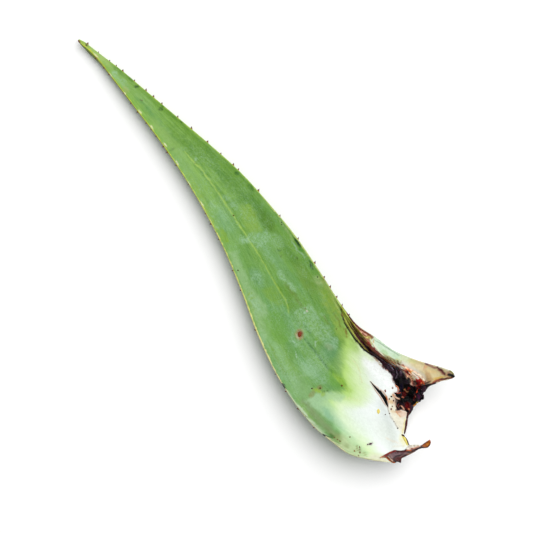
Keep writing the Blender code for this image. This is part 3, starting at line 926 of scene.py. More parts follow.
TORN_FLESH = (
    area("#f6d6b8", 1.6, (397, 364), (403, 364.6), (421, 375), (426, 379.6), (428, 384), (421, 387),
         (413, 386.4), (407.6, 383), (404.6, 377)),
    line("#fff8e2", 1.7, (397, 365), (400, 366.6), (403.2, 369)),
    line("#aa6e5a", 1.3, (400.6, 364.8), (402.8, 365.4), (405, 367)),
    line("#783c22", 1.3, (397.6, 363.4), (399.8, 365)),
    line("#60221a", 1.6, (396.6, 366), (399, 368.4), (405, 371.2)),
    line("#e2aa8c", 1.6, (403.4, 368.8), (406, 369.6), (407.4, 368.4)),
    area("#de8864", 0.8, (404.4, 369.4), (409.6, 368.8), (410.8, 371), (409, 372.4), (405.6, 371.2)),
    area("#ce6e40", 0.7, (408.8, 370.6), (411.2, 371), (411.6, 374), (410.4, 375.6), (408.8, 374.6)),
    spot("#e8aa60", (411.8, 371.8), (0.9, 1.1), 0, 0.9),
    spot("#ce8c36", (411.4, 373.5), (0.7, 0.7)),
    spot("#b02c1c", (409.6, 374.6), (1.2, 0.9), 20),
    spot("#340422", (407.2, 372.2), (2.3, 1.2), 32),
    line("#eca082", 1.3, (405.2, 373.8), (408.8, 376.4)),
    line("#fcd8a4", 1.5, (409, 376.2), (411, 377), (413.6, 378.8)),
    spot("#cc7c4e", (411.4, 376.4), (0.8, 0.6)),
    line("#ce9676", 1, (412.2, 370), (413.2, 371)),
    line("#f8daba", 1.7, (412.4, 372.6), (415, 374.4), (416.4, 376.6)),
    line("#fff6e8", 1.3, (415.6, 374), (420.4, 376.6)),
    line("#be6e52", 0.9, (415.6, 375), (417.4, 376.6)),
    line("#fff4e8", 1.1, (415.8, 376.8), (418.6, 378.8)),
    line("#c46c56", 0.9, (418.2, 376.8), (420.4, 378)),
    line("#e4ba96", 1.2, (420.4, 375.6), (422, 376.8), (423.2, 379)),
    line("#f8e2c4", 1.6, (419, 373.4), (422.6, 376.6), (425, 380.6), (425.6, 382.6)),
    area("#3a0216", 0.8, (406.6, 377.4), (409, 377.4), (410.2, 379.6), (409.6, 382), (409.8, 384.4),
         (408, 384.6), (406.6, 381)),
    line("#781a22", 1, (409.8, 378), (410.6, 380), (410, 383)),
    spot("#dea484", (411.8, 379.6), (1.2, 2), 10, 0.9),
    spot("#d69682", (412.8, 382.6), (1.5, 2.4), 0, 0.9),
    spot("#ba685a", (413.8, 384.2), (1.6, 1), 0, 0.8),
    line("#964a38", 1, (412.8, 380.2), (414.6, 381)),
    spot("#320e30", (415.2, 381.4), (1.9, 1), 8),
    area("#5c0e1a", 1, (408.6, 383.4), (411, 384.6), (414, 385.6), (417, 385), (416.6, 388), (409, 388)),
    line("#6e141e", 1, (404.6, 372), (407, 378)),
    area("#a8381a", 0.7, (415.6, 378.4), (418, 379.4), (420, 378), (422, 378), (423.6, 384), (421, 386.2),
         (417.6, 387), (416.2, 383)),
    spot("#c6683e", (421, 378.8), (1.2, 1)),
    spot("#6c0000", (419, 382.6), (1, 1.4), 10, 0.9),
    spot("#780a08", (417, 384.2), (0.8, 1.2), 0, 0.8),
    spot("#e48654", (421.5, 383.4), (0.7, 1)),
    line("#ce642c", 1, (422.6, 379.4), (423.6, 382), (425, 384)),
    line("#c49260", 0.8, (425.6, 380.4), (425.8, 383)),
    spot("#ce4c32", (417, 386.4), (1, 1.3), -10, 0.9),
    spot("#a05854", (419.7, 386.6), (0.8, 1.8), 0, 0.8),
    line("#782c22", 1.2, (388, 358), (391.4, 361), (397.6, 367.6)),
    spot("#6e6e3c", (397.6, 361.2), (0.8, 1.3), 0, 0.8),
    line("#aaa060", 0.9, (400.8, 360.2), (400.2, 362.6), share=0.8),
    band("#2e1a20", 1.9, (391, 364.6), (400, 370), (403.4, 372.8), (405.2, 376.8), (406, 380)),
    spot("#3a0a12", (409, 380.6), (2, 3.8), 0, 0.9),
    spot("#703e36", (412.4, 382), (1.7, 1.9), 0, 0.7),
    spot("#421014", (415, 383.8), (2.6, 2), 0, 0.85),
    spot("#6e3c28", (424.4, 382), (2, 1.5), 0, 0.7),
    line("#462218", 1.7, (421, 384.6), (425.4, 383.8), (430.4, 381.2), share=0.9),
    band("#0e080a", 2.8, (417.6, 387.6), (426, 386), (429.6, 384.4)),
    spot("#c89a7e", (394.2, 398.6), (2, 6.4), 0, 0.45, soft=0.5),
    area("#502e2c", 0.9, (395.6, 394.6), (398.4, 393.6), (399, 400), (398, 404), (399, 409.4), (395.8, 407),
         (395, 400), share=0.9),
    spot("#ce9878", (398, 411.6), (3.2, 1.5), 8, 0.6),
    # painted light: a pale yellow strip, lighter than its own colour to offset the shade in the crack
    area("#f6eaac", 0.9, (383.6, 354), (389, 356.4), (394, 359.4), (397, 362.2), (393.4, 362.4), (388, 359.4),
         share=0.6),
)
DRIED_STRANDS = (
    area("#987a56", 1.3, *DRIED_OUTLINE),
    area("#98a64a", 1.4, (341, 305), (345.6, 309), (349.4, 316), (351.6, 322), (349.4, 328), (345.6, 322),
         (342.4, 315)),
    line("#705c2c", 1.6, (341.2, 308), (341.8, 314), (343, 320)),
    line("#bec86c", 1.2, (345.6, 313), (348, 317.6)),
    line("#605430", 1, (346, 319), (349, 325), share=0.7),
    line("#b0ba60", 2, *LIME_STRAND, taper=0.2),
    band("#704e50", 3.2, (350.6, 323), (353, 328), (359, 338), (363, 343.6), (371, 352)),
    line("#4e3036", 1.2, (352.6, 328.6), (355.6, 332.4), (357.4, 335.6)),
    line("#967268", 0.9, (354, 329), (359, 337)),
    line("#583240", 1.6, (361, 340.6), (366, 346.4)),
    band("#847a30", 2.6, (352.6, 323), (361, 334.8)),
    line("#ced078", 1, (354, 324.4), (356.4, 327.4)),
    line("#a09246", 1.8, (359.6, 331.6), (361.6, 334.6)),
    line("#827c42", 1.8, (360.8, 337.4), (366, 343)),
    line("#6e463e", 1.9, (346.4, 312.2), (352.8, 322)),
    line("#ce9884", 2.2, (352.8, 321), (360, 329.8), (363.6, 333)),
    line("#744640", 1.3, (354, 322.6), (359.4, 329.4)),
    line("#e2b8a4", 1.4, (360.4, 330.4), (362.8, 332.8)),
    line("#845248", 1.6, (362.4, 330), (370, 335.2), (373.6, 337)),
    line("#704238", 1.3, (363, 333), (365.4, 335.6)),
    line("#d6a494", 1.2, (364.4, 333.4), (366.8, 335)),
    line("#c0b870", 1.5, (361.6, 336), (365.6, 337.4), (369, 337)),
    line("#ce9280", 1.9, (364.4, 338.2), (367.4, 340.8), (369.6, 344)),
    line("#924c4a", 1.3, (367.4, 343), (372, 349)),
    spot("#54201a", (363.4, 338.5), (1.2, 0.9), 30),
    spot("#602c24", (360.8, 336.4), (1.2, 0.8), 30),
    line("#b6b46c", 1.4, (369.6, 337.4), (371.4, 341), (372.4, 344.4)),
    line("#ceaa74", 1, (374.6, 339.4), (373.4, 342.4)),
    line(IVORY, 0.9, (370.6, 339.4), (377.2, 349), (380.6, 353), (385.4, 356.6), (391, 360)),
    line("#964644", 2.6, *RED_FOLD, taper=0.3),
    band("#ba8c70", 1.6, (380, 355.2), (393, 363.2)),
    line("#844a3a", 1, (381, 357), (385.4, 359.4), (390, 362.6)),
    area("#cec48c", 1.2, (383, 353.6), (389, 356.4), (401, 363.6), (398, 366), (391.6, 362.6), (385, 358.6),
         share=0.8),
    line("#683230", 3.6, (374, 352), (381, 358.4), (387, 365), (391.6, 372), (395, 380), share=0.9,
         taper=0.5),
    line("#965442", 1.2, (371, 351), (378, 357.6), (383.6, 363.6), (388.4, 370.6), share=0.8),
    spot("#461a1a", (384.4, 364.6), (2.6, 1.4), 50),
    spot("#461a1a", (389.6, 371.4), (2.4, 1.3), 60),
    line("#463644", 2.2, (364, 344.4), (370, 350.4), (373.6, 353)),
    line("#9e9658", 1.5, (361.6, 344.4), (367.8, 351)),
    line(SAP, 1.7, *CRACK_LEFT, taper=0.3, soft=0.4),
)
print("wing:", len(MINT_STRIP + HORN_PAINT + TORN_FLESH + DRIED_STRANDS), "layers")

# %% Layers of the white sheath: painted light and shade, stains by the slit, rims, flecks and the last green
SHEATH_PAINT = (
    # painted light: these two strokes lighten the white and the lime beside the crack, to offset the shade
    # that the wing casts there
    band(BRIGHT, 15, (370, 362), (385, 376), (391, 386), share=0.95, soft=6),
    line((0.74, 0.92, 0.5, 1.0), 6, (359, 348), (372, 359.5), share=0.6, soft=3),
    haze("#b4db76", (353, 344.6), (9, 3.6), 54, 0.75),
    spot("#784638", (396.2, 399.4), (1.8, 1.5), 0, 0.7),
    spot("#e7f7e5", (356, 424), (22, 11), 48, 0.6, soft=0.7),
    # painted shade: a faint grey over the white beside the fold
    spot("#e6efe3", (387, 433), (16, 9), 52, 0.6, soft=0.7),
    line("#e2c482", 0.8, (382.6, 390), (385.4, 394.6), (387, 399), share=0.8),
    area("#cee4b2", 4, (342, 434), (364, 451), (372, 464), (340, 452), share=0.7),
    area("#eceed2", 3, (370, 454), (378, 454), (386, 456), (390, 461), (392, 468), (366, 468), share=0.9),
    band("#e2daac", 1.5, (368, 458.2), (376, 460.6), (386, 462), share=0.8),
    # painted light: the cream right of the slit is lighter than its own, to offset its slope's shade
    area(SHADE_LIFTED_CREAM, 1.8, (388.4, 397), (393, 393), (398, 400), (397, 409), (407, 412.4), (406.4, 420),
         (404.6, 432), (402, 434), (397.7, 428.2), (392, 418), (389, 409)),
    area("#f4d8c2", 1.3, (396, 409), (407, 411), (406.6, 416.4), (400, 417.6), share=0.9),
    line("#e8b888", 1.4, (396.4, 411), (398, 414), (401, 417.2)),
    spot("#ecc892", (391, 402), (3, 2), 0, 0.8),
    spot("#f0d6aa", (393, 411.6), (3, 1.6), 20, 0.6),
    line("#c6c0b2", 0.9, *SLIT_TAIL, taper=0),
    line("#fceea4", 1.5, (405, 419), (404, 427), (402.6, 434), share=0.9, taper=0.3),
    area("#faf6be", 2, (400, 434), (405, 437), (409, 446), (403, 446), (399, 440), share=0.7),
    area("#fae878", 0.7, (401, 434), (404, 437), (406.6, 440.6), (407.8, 444.4), (405, 442), (402.4, 438)),
    spot("#c4682e", (386.8, 398.4), (1.3, 2.4), -20),
    line("#c4806c", 1.2, (382, 366), (389.6, 372.4), (391.8, 375), taper=0.5),
    line("#8c423e", 1.1, (392, 375.6), (392.2, 378.4), (393.4, 382.4), (395, 384.6), share=0.8),
    band("#ce8a74", 1.4, (396, 385.4), (398, 387.4), (398.4, 391), (396, 392.6)),
    band("#e8b496", 1.6, (393.6, 394), (394.6, 396.4), (397, 399.4)),
    line("#d6a082", 1.2, (396.4, 400), (395, 403), (395.4, 406), (397, 409.6), share=0.8),
    area("#621c22", 0.6, (380.6, 361.4), (386, 367.6), (386.6, 370), (384, 368.8), (381.8, 366)),
    line("#dac2a2", 1.6, (373.6, 358), (378, 361.4), (381, 366)),
    spot("#a89696", (392.5, 388), (0.9, 1)),
    spot("#e8a878", (393.6, 395.6), (1.2, 1)),
    line("#f2e2c8", 1.4, (386, 438), (400, 444), share=0.6),
    line("#ece6ce", 1.6, (392, 447), (404, 446), share=0.6),
    line("#5a4628", 1, (405, 437.6), (407, 440), (408, 444), (409, 445.4), taper=0.1),
    line("#866478", 1.5, (367.2, 444.4), (370, 444.6), (372.4, 443.2)),
    line("#847c3c", 1.3, (356.6, 446), (357.6, 451), share=0.7),
    line("#705c3c", 1.3, (359.8, 448), (360.2, 453), share=0.8),
    line("#968c50", 1.2, (363.4, 452), (366.2, 456), share=0.6),
    haze("#8c9c64", (346.2, 446), (3.4, 2.2), 45, 0.6),
)
print("sheath:", len(SHEATH_PAINT), "layers")

# %% [markdown]
# ## Paint on the blade
# The blade carries patches with names too: grey bloom, places where the bloom is rubbed off and the
# green is yellower, a furrow, a broken pale vein and bruises near the right margin. Ovals that lie along
# the leaf suit most of them, and outlines suit the few with clear edges.

# %% Patches, veins and bruises of the blade
WAXY = paint("#96c092")
FRESH = paint("#8ab446")
DEEP = paint("#588a3c")
VEIN_PALE = paint("#acd062")
BRUISE = paint("#2e5838")
SPECK = paint("#605032")

UPPER_BLADE = (
    spot("#b0c668", (84, 43), (4.5, 1.8), 30, 0.9),
    haze("#b0cc7c", (99, 56), (14, 3.2), 42, 0.7),
    haze("#92be74", (146, 102), (16, 4), 45, 0.5),
    spot(DEEP, (131, 78.6), (5, 2), 45, 0.8),
    haze(DEEP, (118, 70), (9, 2), 42, 0.5),
    spot("#aab870", (126, 90), (4, 2.6), 40, 0.6),
    line("#5c9654", 4.4, (135, 96), (165, 128), (178, 141), share=0.6, taper=0.9, soft=2),
    haze("#94ba64", (168, 138), (24, 5), 50, 0.6),
    haze("#62923a", (184, 143), (24, 6), 46, 0.7),
    haze(DEEP, (205, 156), (26, 6), 46, 0.5),
    haze(DEEP, (230, 184), (18, 7), 50, 0.5),
    haze("#8cb868", (186, 166), (22, 5), 52, 0.5),
    spot(FRESH, (196, 188), (18, 3), 58, 0.7, soft=0.5),
    line("#9cc03c", 3, (202, 204), (217, 230), share=0.7, soft=1.4),
    haze("#74a86e", (226, 222), (16, 6), 55, 0.6),
)
MIDDLE_BLADE = (
    haze(DEEP, (254, 206), (22, 7), 52, 0.6),
    area("#628c3c", 2.6, (258, 208), (266, 212), (274, 222), (276, 232), (264, 230), (261, 222), share=0.7),
    area("#92b850", 2.6, (242, 205), (252, 205), (257, 214), (259, 223), (262, 231), (255, 235), (249, 232),
         (244, 224), (240, 212), share=0.65),
    spot("#8cb83c", (249, 208), (4, 2.4), 50, 0.7),
    area("#80ac22", 0.9, (219.6, 229), (224, 228.6), (227.4, 236), (228.6, 242.4), (224, 243.6), (221, 238)),
    haze("#689c46", (248, 262), (26, 5), 60, 0.6),
    area("#9cc288", 2, (228, 252), (237, 252), (245, 272), (253, 288), (262, 300), (269, 314), (272, 332),
         (264, 342), (247, 300), (238, 276), share=0.7),
    area("#80ac48", 1.2, (262, 290), (273, 285), (281, 296), (285, 305), (276, 305), (266, 297), share=0.7),
    area("#6a9a30", 1.2, (274, 282), (284, 287), (292, 297), (295, 309), (288, 310), (281, 298), share=0.8),
    line("#688634", 3.6, (286, 284), (303, 308), share=0.7, taper=0.6, soft=1.4),
    haze("#86b478", (284, 268), (18, 4), 58, 0.5),
    haze("#80a24c", (305, 278), (20, 6), 58, 0.55),
    haze("#92b26e", (318, 284), (9, 3), 58, 0.6),
    haze(DEEP, (290, 255), (16, 4), 55, 0.5),
    line("#a8cea8", 1.6, (292, 242), (305, 258), share=0.7),
    line("#accc8a", 2.2, (280, 220), (288, 232), (294, 242), share=0.6, soft=1),
    area(BRUISE, 0.6, (293.6, 237), (296.8, 238.6), (301.8, 246.6), (299.8, 247.4), (296.4, 243), share=0.95),
    line("#4e922a", 2.2, (300, 248), (303.6, 251.4), share=0.8),
    area("#4a7c28", 0.6, (308.6, 259), (311.4, 259.4), (314.2, 263.6), (313, 265), (310, 263.4), share=0.9),
    area("#2a542c", 0.6, (309.8, 263.4), (312.4, 264.4), (313.8, 268.6), (311.6, 268.8), (310, 266.4)),
    line(DEEP, 1.8, (186, 155), (202, 172), (217, 194), (246, 240), share=0.4, soft=1),
)
LOWER_BLADE = (
    area("#72a846", 2, (262, 318), (277, 308), (287, 325), (292, 339), (281, 347), (269, 339), share=0.7),
    haze("#94c286", (276, 350), (18, 5), 60, 0.6),
    haze("#8cb67a", (300, 388), (16, 8), 50, 0.6),
    haze("#6a9e6e", (330, 350), (9, 12), 0, 0.7),
    spot("#96b082", (329, 347), (5, 3), 30, 0.6, soft=0.5),
    spot("#74ac42", (336, 380), (10, 6), 40, 0.7, soft=0.5),
    line("#749e30", 2.8, (271, 345), (276, 356), (281, 365), (284, 375), share=0.75, soft=1.2),
    haze("#9aba54", (333, 311), (24, 6), 62, 0.8),
    haze("#a0c260", (340, 330), (12, 4), 70, 0.7),
    line("#608442", 1.3, *GROOVE, share=0.7),
    line("#5c8242", 1.4, *LOWER_GROOVE[:3], share=0.8, taper=0.2),
    line("#76ae3a", 2.6, *LOWER_GROOVE[2:], share=0.7, soft=1.2),
    haze("#9eca54", (340, 379), (7, 2.6), 45, 0.7),
    line("#7e763c", 1.3, (333, 311), (338, 319), (343, 329), share=0.6),
    line("#7e763c", 1.3, (323, 316), (330, 326), share=0.5),
    line("#80542c", 1.4, (345.6, 328), (346.6, 338), share=0.7),
    line("#7e6c2c", 1.2, (347.6, 334), (359, 350), share=0.45),
    area("#b0d6a8", 2.4, (312, 397), (318, 392), (325, 392.5), (332, 391), (340, 393), (346, 397), (340, 402),
         (329, 401), (334, 411), (341, 421), (345, 432), (335, 424), (324, 416), (314, 408), (306, 401),
         share=0.7),
    spot("#84ba92", (328, 414), (8, 3), 50, 0.6, soft=0.5),
    line("#829468", 7, (303, 401), (318, 419), (336, 436), share=0.7, soft=3.4),
    line("#768654", 3, (324, 428), (332, 434.6), (339, 439), share=0.6, soft=1.4),
    haze("#b6d89e", (349, 439), (9, 4), 42, 0.6),
    haze("#92a668", (342.5, 442), (12, 4), 42, 0.9),
    haze("#b2c48c", (357, 450), (7, 2.6), 32, 0.6),
    line("#ccdebe", 3.6, (285.6, 389.6), (292, 399), (299, 408), (307, 417.4), (316, 427), (324, 434.6),
         share=0.85, taper=0.3, soft=0.8),
    band("#d6d8ac", 2.4, (325, 436), (336, 444.6), (350, 453.4), (364, 459), share=0.8),
    spot("#2c2624", (283, 386), (3.4, 1.3), 55),
    spot("#362c28", (324.4, 435), (2.6, 1.3), 40),
    line("#60503c", 1, (286, 391.6), (298, 409.4), (312, 425), share=0.6),
    spot("#96ba3a", (317, 391), (6, 1.8), 10, 0.85),
    spot("#96ba42", (323, 395), (2.4, 2.2), 0, 0.7),
    spot("#868a54", (319.8, 388), (3, 2), 0, 0.8),
    spot("#8e965c", (312, 394.6), (2.6, 3.6), 20, 0.7),
    line("#546e32", 1, (322.4, 392.6), (325, 391), (328, 390.4), share=0.8),
    spot("#4c7438", (332.6, 436.6), (3.2, 1.8), 40, 0.85),
    line("#e8e4aa", 1, (352, 358), (358, 366), (361.6, 374), share=0.5),
    line("#eae2b0", 1, (360.6, 376), (363, 384), share=0.5),
    line("#e2eeb0", 1.4, (344, 398), (356, 399.6), (362, 399), share=0.5),
    line("#88ac34", 1.4, (247, 297.4), (250, 294), (253.4, 293.4), share=0.9),
    line("#88ac34", 1.4, (250.6, 298), (255.2, 297), share=0.9),
    line("#88b03c", 1.6, (244, 290), (248, 299), (256, 319), share=0.5, soft=0.9),
)
# centre, two radii, turn in degrees, share and softness
BLOOM_OVALS = (
    (114, 74.4, 3.2, 3.8, 40, 0.9, 0.35), (122, 82, 9, 3, 45, 0.6, 0.6),
    (195.6, 159.4, 2.4, 1.3, -60, 0.8, 0.35), (213, 205, 5, 3, 60, 0.6, 0.35),
    (226, 198, 4, 2.4, 20, 0.6, 0.35), (217, 226, 3, 2, 70, 0.6, 0.35), (268, 254, 14, 4, 58, 0.5, 0.6),
    (277, 240, 9, 6, 50, 0.6, 0.6), (257, 278, 9, 6, 60, 0.6, 0.6), (256, 304, 10, 4, 62, 0.6, 0.5),
    (296, 342, 12, 4, 48, 0.6, 0.5), (307, 366, 13, 7, 30, 0.65, 0.6), (283, 277, 9, 3, 55, 0.8, 0.5),
    (292, 286, 6, 2.6, 55, 0.8, 0.5), (243, 240, 4, 4, 0, 0.8, 0.5), (224, 214, 5, 9, -30, 0.5, 0.6),
    (234, 206, 5, 4, 40, 0.6, 0.6), (298, 330, 16, 7, 50, 0.5, 0.6), (318, 360, 14, 8, 50, 0.6, 0.6),
    (286, 372, 16, 7, 55, 0.5, 0.6), (262, 340, 12, 4, 62, 0.5, 0.6), (320, 378, 8, 6, 0, 0.6, 0.6),
)
BLOOM_MARKS = (
    area(WAXY, 1.6, (247, 236), (252, 232.6), (261, 233), (267, 229), (270, 236), (265, 246), (258, 250),
         (252, 244), (242, 242), (242, 237), share=0.75),
    area(WAXY, 1.4, (302, 307), (311, 303), (317, 312), (321, 321), (331, 328), (339, 340), (336, 350),
         (322, 342), (311, 333), (300, 325), (294, 313), share=0.7),
    *(spot(WAXY, (u, v), (long, wide), *look) for u, v, long, wide, *look in BLOOM_OVALS),
)
# places on the margin where a tooth has left a pale knot, and the turn of each in degrees
PALE_NODES = (
    (96, 55.4, 50), (110.6, 75.4, 52), (124, 93, 50), (139.8, 111.6, 52), (152, 127, 52), (165, 144.6, 55),
    (177.4, 163, 58), (189, 184, 60), (202, 204, 58),
)
TIP_FLANK = (
    # the dark olive of the rolled underside seen at the tip: its own green, with painted shade
    area("#6a8422", 0.8, (76, 42), (82, 43.4), (88, 48.4), (93.4, 53.8), (104, 67.4), (103, 70), (96, 62),
         (88, 54), (79, 46)),
    band("#cad654", 1.5, (81, 42.6), (88, 48.6), (93.4, 53.8), (105, 68.4)),
    spot("#b05c28", (96.8, 56.4), (1, 1.2), 40),
    spot("#261e12", (96.2, 60.2), (1.6, 1), 45),
    spot("#a8c45c", (83.6, 42.6), (3.2, 1.8), 35),
    spot("#7c3224", (78, 41.4), (2.4, 1.9)),
    spot("#54281e", (86.6, 44.8), (1.1, 1.6), -20),
)
MARGIN_NODES = tuple(spot("#f0f0be", (u, v), (2.8, 0.9), angle, 0.9) for u, v, angle in PALE_NODES)
BRUISES = (
    spot("#a8c484", (319, 281), (6, 3), 52, 0.75, soft=0.5),
    haze("#609658", (257, 278), (11, 5), 60, 0.75),
    haze("#94c08e", (310, 370), (9, 6), 30, 0.6),
    line("#907c42", 1.2, (345.4, 328.6), (346.8, 338), share=0.8),
    line("#929848", 1.1, (347.6, 335), (354.4, 343.6), share=0.7),
    line("#ced678", 1, (353, 338), (360, 346), share=0.7),
    band("#9c6040", 1.8, (323, 278), (331, 288.4), (337.4, 298), (344, 307), share=0.7),
    area("#b0c268", 1.8, (318, 276), (324, 280), (341, 306), (343, 316), (338, 312), (330, 296), share=0.6),
    line(VEIN_PALE, 1.7, *VEIN[:4], share=0.8, taper=0.3),
    line(VEIN_PALE, 1.6, *VEIN[3:7], share=0.8, taper=0.3),
    line(VEIN_PALE, 1.6, *VEIN[6:], share=0.75, taper=0.5),
    spot(BRUISE, (136.6, 86.6), (2.7, 1.4), -20, 0.9),
    spot(BRUISE, (160.6, 109), (2.8, 1.3), -20, 0.8),
    spot(DEEP, (163.6, 105.4), (2, 2.2), 40, 0.8),
    spot(SPECK, (141.4, 100.2), (1, 0.8), 0, 0.8),
    line("#547632", 1.4, (170.6, 150.4), (174, 147.8), share=0.8),
    spot("#3e6c32", (237, 173), (2.6, 1.8), -20, 0.85),
    spot("#3a6432", (181.6, 121.8), (1.6, 1.2), 45, 0.8),
    spot(DEEP, (251, 188), (4, 2.2), 50, 0.8),
    spot("#3c643a", (279, 250), (2.4, 0.9), 10, 0.7),
    spot("#5a6434", (281, 256), (1.2, 1.6), 50, 0.5),
    spot("#506032", (297, 258), (2.2, 1.4), 50, 0.5),
)
SCAR = (
    spot("#94bc74", (340, 361), (4.6, 13), 8, 0.6, soft=0.8),
    spot("#969c4a", (299.5, 334.5), (4.6, 5.6), 0, 0.9),
    spot("#b08058", (299.6, 334.6), (3.8, 4.6)),
    spot("#86422e", (300, 334), (2.7, 3.3), -10),
    # painted highlight on the scar's left rim
    line("#d8b08a", 0.9, (296.6, 333.4), (296.8, 336.4), (298.2, 338.4), share=0.9),
    band("#487846", 1.1, (304.4, 339), (316, 352.6), (327, 367.4), (333, 374), share=0.75),
    line("#92ba46", 2.2, (333, 374), (339, 381), (346, 388), (351, 392), share=0.6, soft=1),
    line("#b0d4b6", 0.8, (331.6, 337), (334, 339.4), (336.8, 341.4), share=0.7),
    line("#b0d4b0", 0.8, (323.8, 330.4), (330.2, 336), share=0.7),
    line("#aad0b0", 1, (309.4, 305.8), (317, 316.4), (318.6, 320), share=0.6),
    line("#acd2b4", 0.8, (298.8, 360.6), (302, 363), (305.4, 364.6), share=0.7),
    line("#a6ca96", 0.8, (298.8, 375.6), (306, 376), (313.2, 373.8), share=0.6),
    line("#b0d4b4", 0.7, (314, 343), (318, 340.6), (323, 341), share=0.5),
    line("#aacea0", 0.8, (293, 371.6), (295, 377), (297.4, 382), share=0.5),
    spot("#ced6c4", (307, 311.4), (1.5, 1.1), 40, 0.7),
    spot("#c4e2d6", (304, 313), (1.2, 0.9), 0, 0.9),
    spot("#6e4a34", (305, 308.2), (0.9, 0.9), 0, 0.9),
    line("#c4e0ce", 0.9, (293, 340.6), (297.2, 344.4), share=0.8),
    line("#c4e0ce", 0.9, (295.5, 352), (297, 357), share=0.8),
    line("#c4e0ce", 0.8, (315, 340.6), (316, 346), share=0.7),
    line("#5a8278", 0.8, (303, 323), (311, 333), share=0.6),
)
blade_lists = (UPPER_BLADE, MIDDLE_BLADE, LOWER_BLADE, TIP_FLANK, MARGIN_NODES, BRUISES, SCAR)
print("blade:", sum(len(layers) for layers in blade_lists), "layers")

# %% Amounts for the white base, and all the paint laid on the points
UNDER_PALE_X = (-136.0, -204.0)  # where the white of the back starts, at the right and the left margin
UNDER_PALE_WAVE = 16.0  # pixels by which that border wanders
FOLD_SHADE = 12.0  # width of the painted grey shade along the sheath's fold
RIM_TINT = paint("#ce844e")
RIM_SHARE = 0.75
RIM_END = 392  # the slit's rim is brown as far as this pixel

pale_face = within(spot_x, spot_y, PALE_BOUNDARY)
back_start = np.interp(place_v, (-1.0, 1.0), UNDER_PALE_X)
pale_back = (back_start - place_x) / PIXEL + UNDER_PALE_WAVE * (grain(place_v * 5, place_x / 60, 32) - 0.5)
pale = np.where(side < 0.5, pale_face, pale_back)
dried = dried_wing(spot_x, spot_y) * on_face
crust = within(spot_x, spot_y, CRUST_OUTLINE)
slit = slit_shape(spot_x, spot_y)
black = np.maximum(smoothstep(-0.5, 0.8, crust), smoothstep(-0.35, 0.05, slit))
# painted shade: the grey along the sheath's fold
shade = stroke(spot_x, spot_y, FOLD, FOLD_SHADE, FOLD_SHADE / 2, 0.6)

brush_x, brush_y = shaken(spot_x, spot_y, 1.1, 2.6, 41)
patch_x, patch_y = shaken(spot_x, spot_y, 2.4, 5.0, 45)
paint_colour = np.zeros((len(spot_x), 3))
paint_share = np.zeros(len(spot_x))


def lay_on(points_there, across_x, across_y, layers):
    """Lay more layers on some of the points, over what is there already."""
    colour, share = laid(across_x[points_there], across_y[points_there], layers)
    paint_colour[points_there] = paint_colour[points_there] * (1 - share)[:, None] + colour
    paint_share[points_there] = 1 - (1 - paint_share[points_there]) * (1 - share)


facing = side < 0.7
# each list is laid only on the part of the photo where its marks lie
bloomed = np.zeros(len(spot_x))
bloomed[facing] = laid(patch_x[facing], patch_y[facing], BLOOM_MARKS)[1]
lay_on(facing & (spot_y < 250), patch_x, patch_y, UPPER_BLADE)
lay_on(facing & (spot_y > 140) & (spot_y < 360), patch_x, patch_y, MIDDLE_BLADE)
lay_on(facing & (spot_y > 270), patch_x, patch_y, LOWER_BLADE)
lay_on(facing & (spot_x < 110), brush_x, brush_y, TIP_FLANK)
lay_on(facing & (spot_x < 362), brush_x, brush_y, MARGIN_NODES + BRUISES + SCAR)
wing_paint = MINT_STRIP + HORN_PAINT + SHEATH_PAINT + DRIED_STRANDS + TORN_FLESH
lay_on(facing & (spot_x > 328), brush_x, brush_y, wing_paint)
rim_share = RIM_SHARE * np.exp(-(((slit + 0.8) / 0.45) ** 2)) * (spot_x < RIM_END) * facing
paint_colour = paint_colour * (1 - rim_share)[:, None] + np.array(RIM_TINT[:3]) * rim_share[:, None]
paint_share = 1 - (1 - paint_share) * (1 - rim_share)
paint_colour *= (1 + 0.6 * dried)[:, None]  # painted light: the dried wing is painted lighter to offset the shade of its steep wall and of its fibres
in_view = 1 - smoothstep(0.5, 0.7, side)
paint_colour *= in_view[:, None]
paint_share *= in_view
print("points in the white base:", int((pale > 0).sum()), "painted:", int((paint_share > 0.5).sum()))

# %% [markdown]
# ## Recipes for materials
# Every finish here is a stack: a ground colour, then one layer after another, each laid on where its
# amount says so. A small helper keeps the calls for the nodes short, so that a recipe reads as the
# stack that it is. Colours are named as a screen shows them and turned into linear light.


# %% Short calls for the nodes
NOTHING = (0.0, 0.0, 0.0, 1.0)
FULL = (1.0, 1.0, 1.0, 1.0)


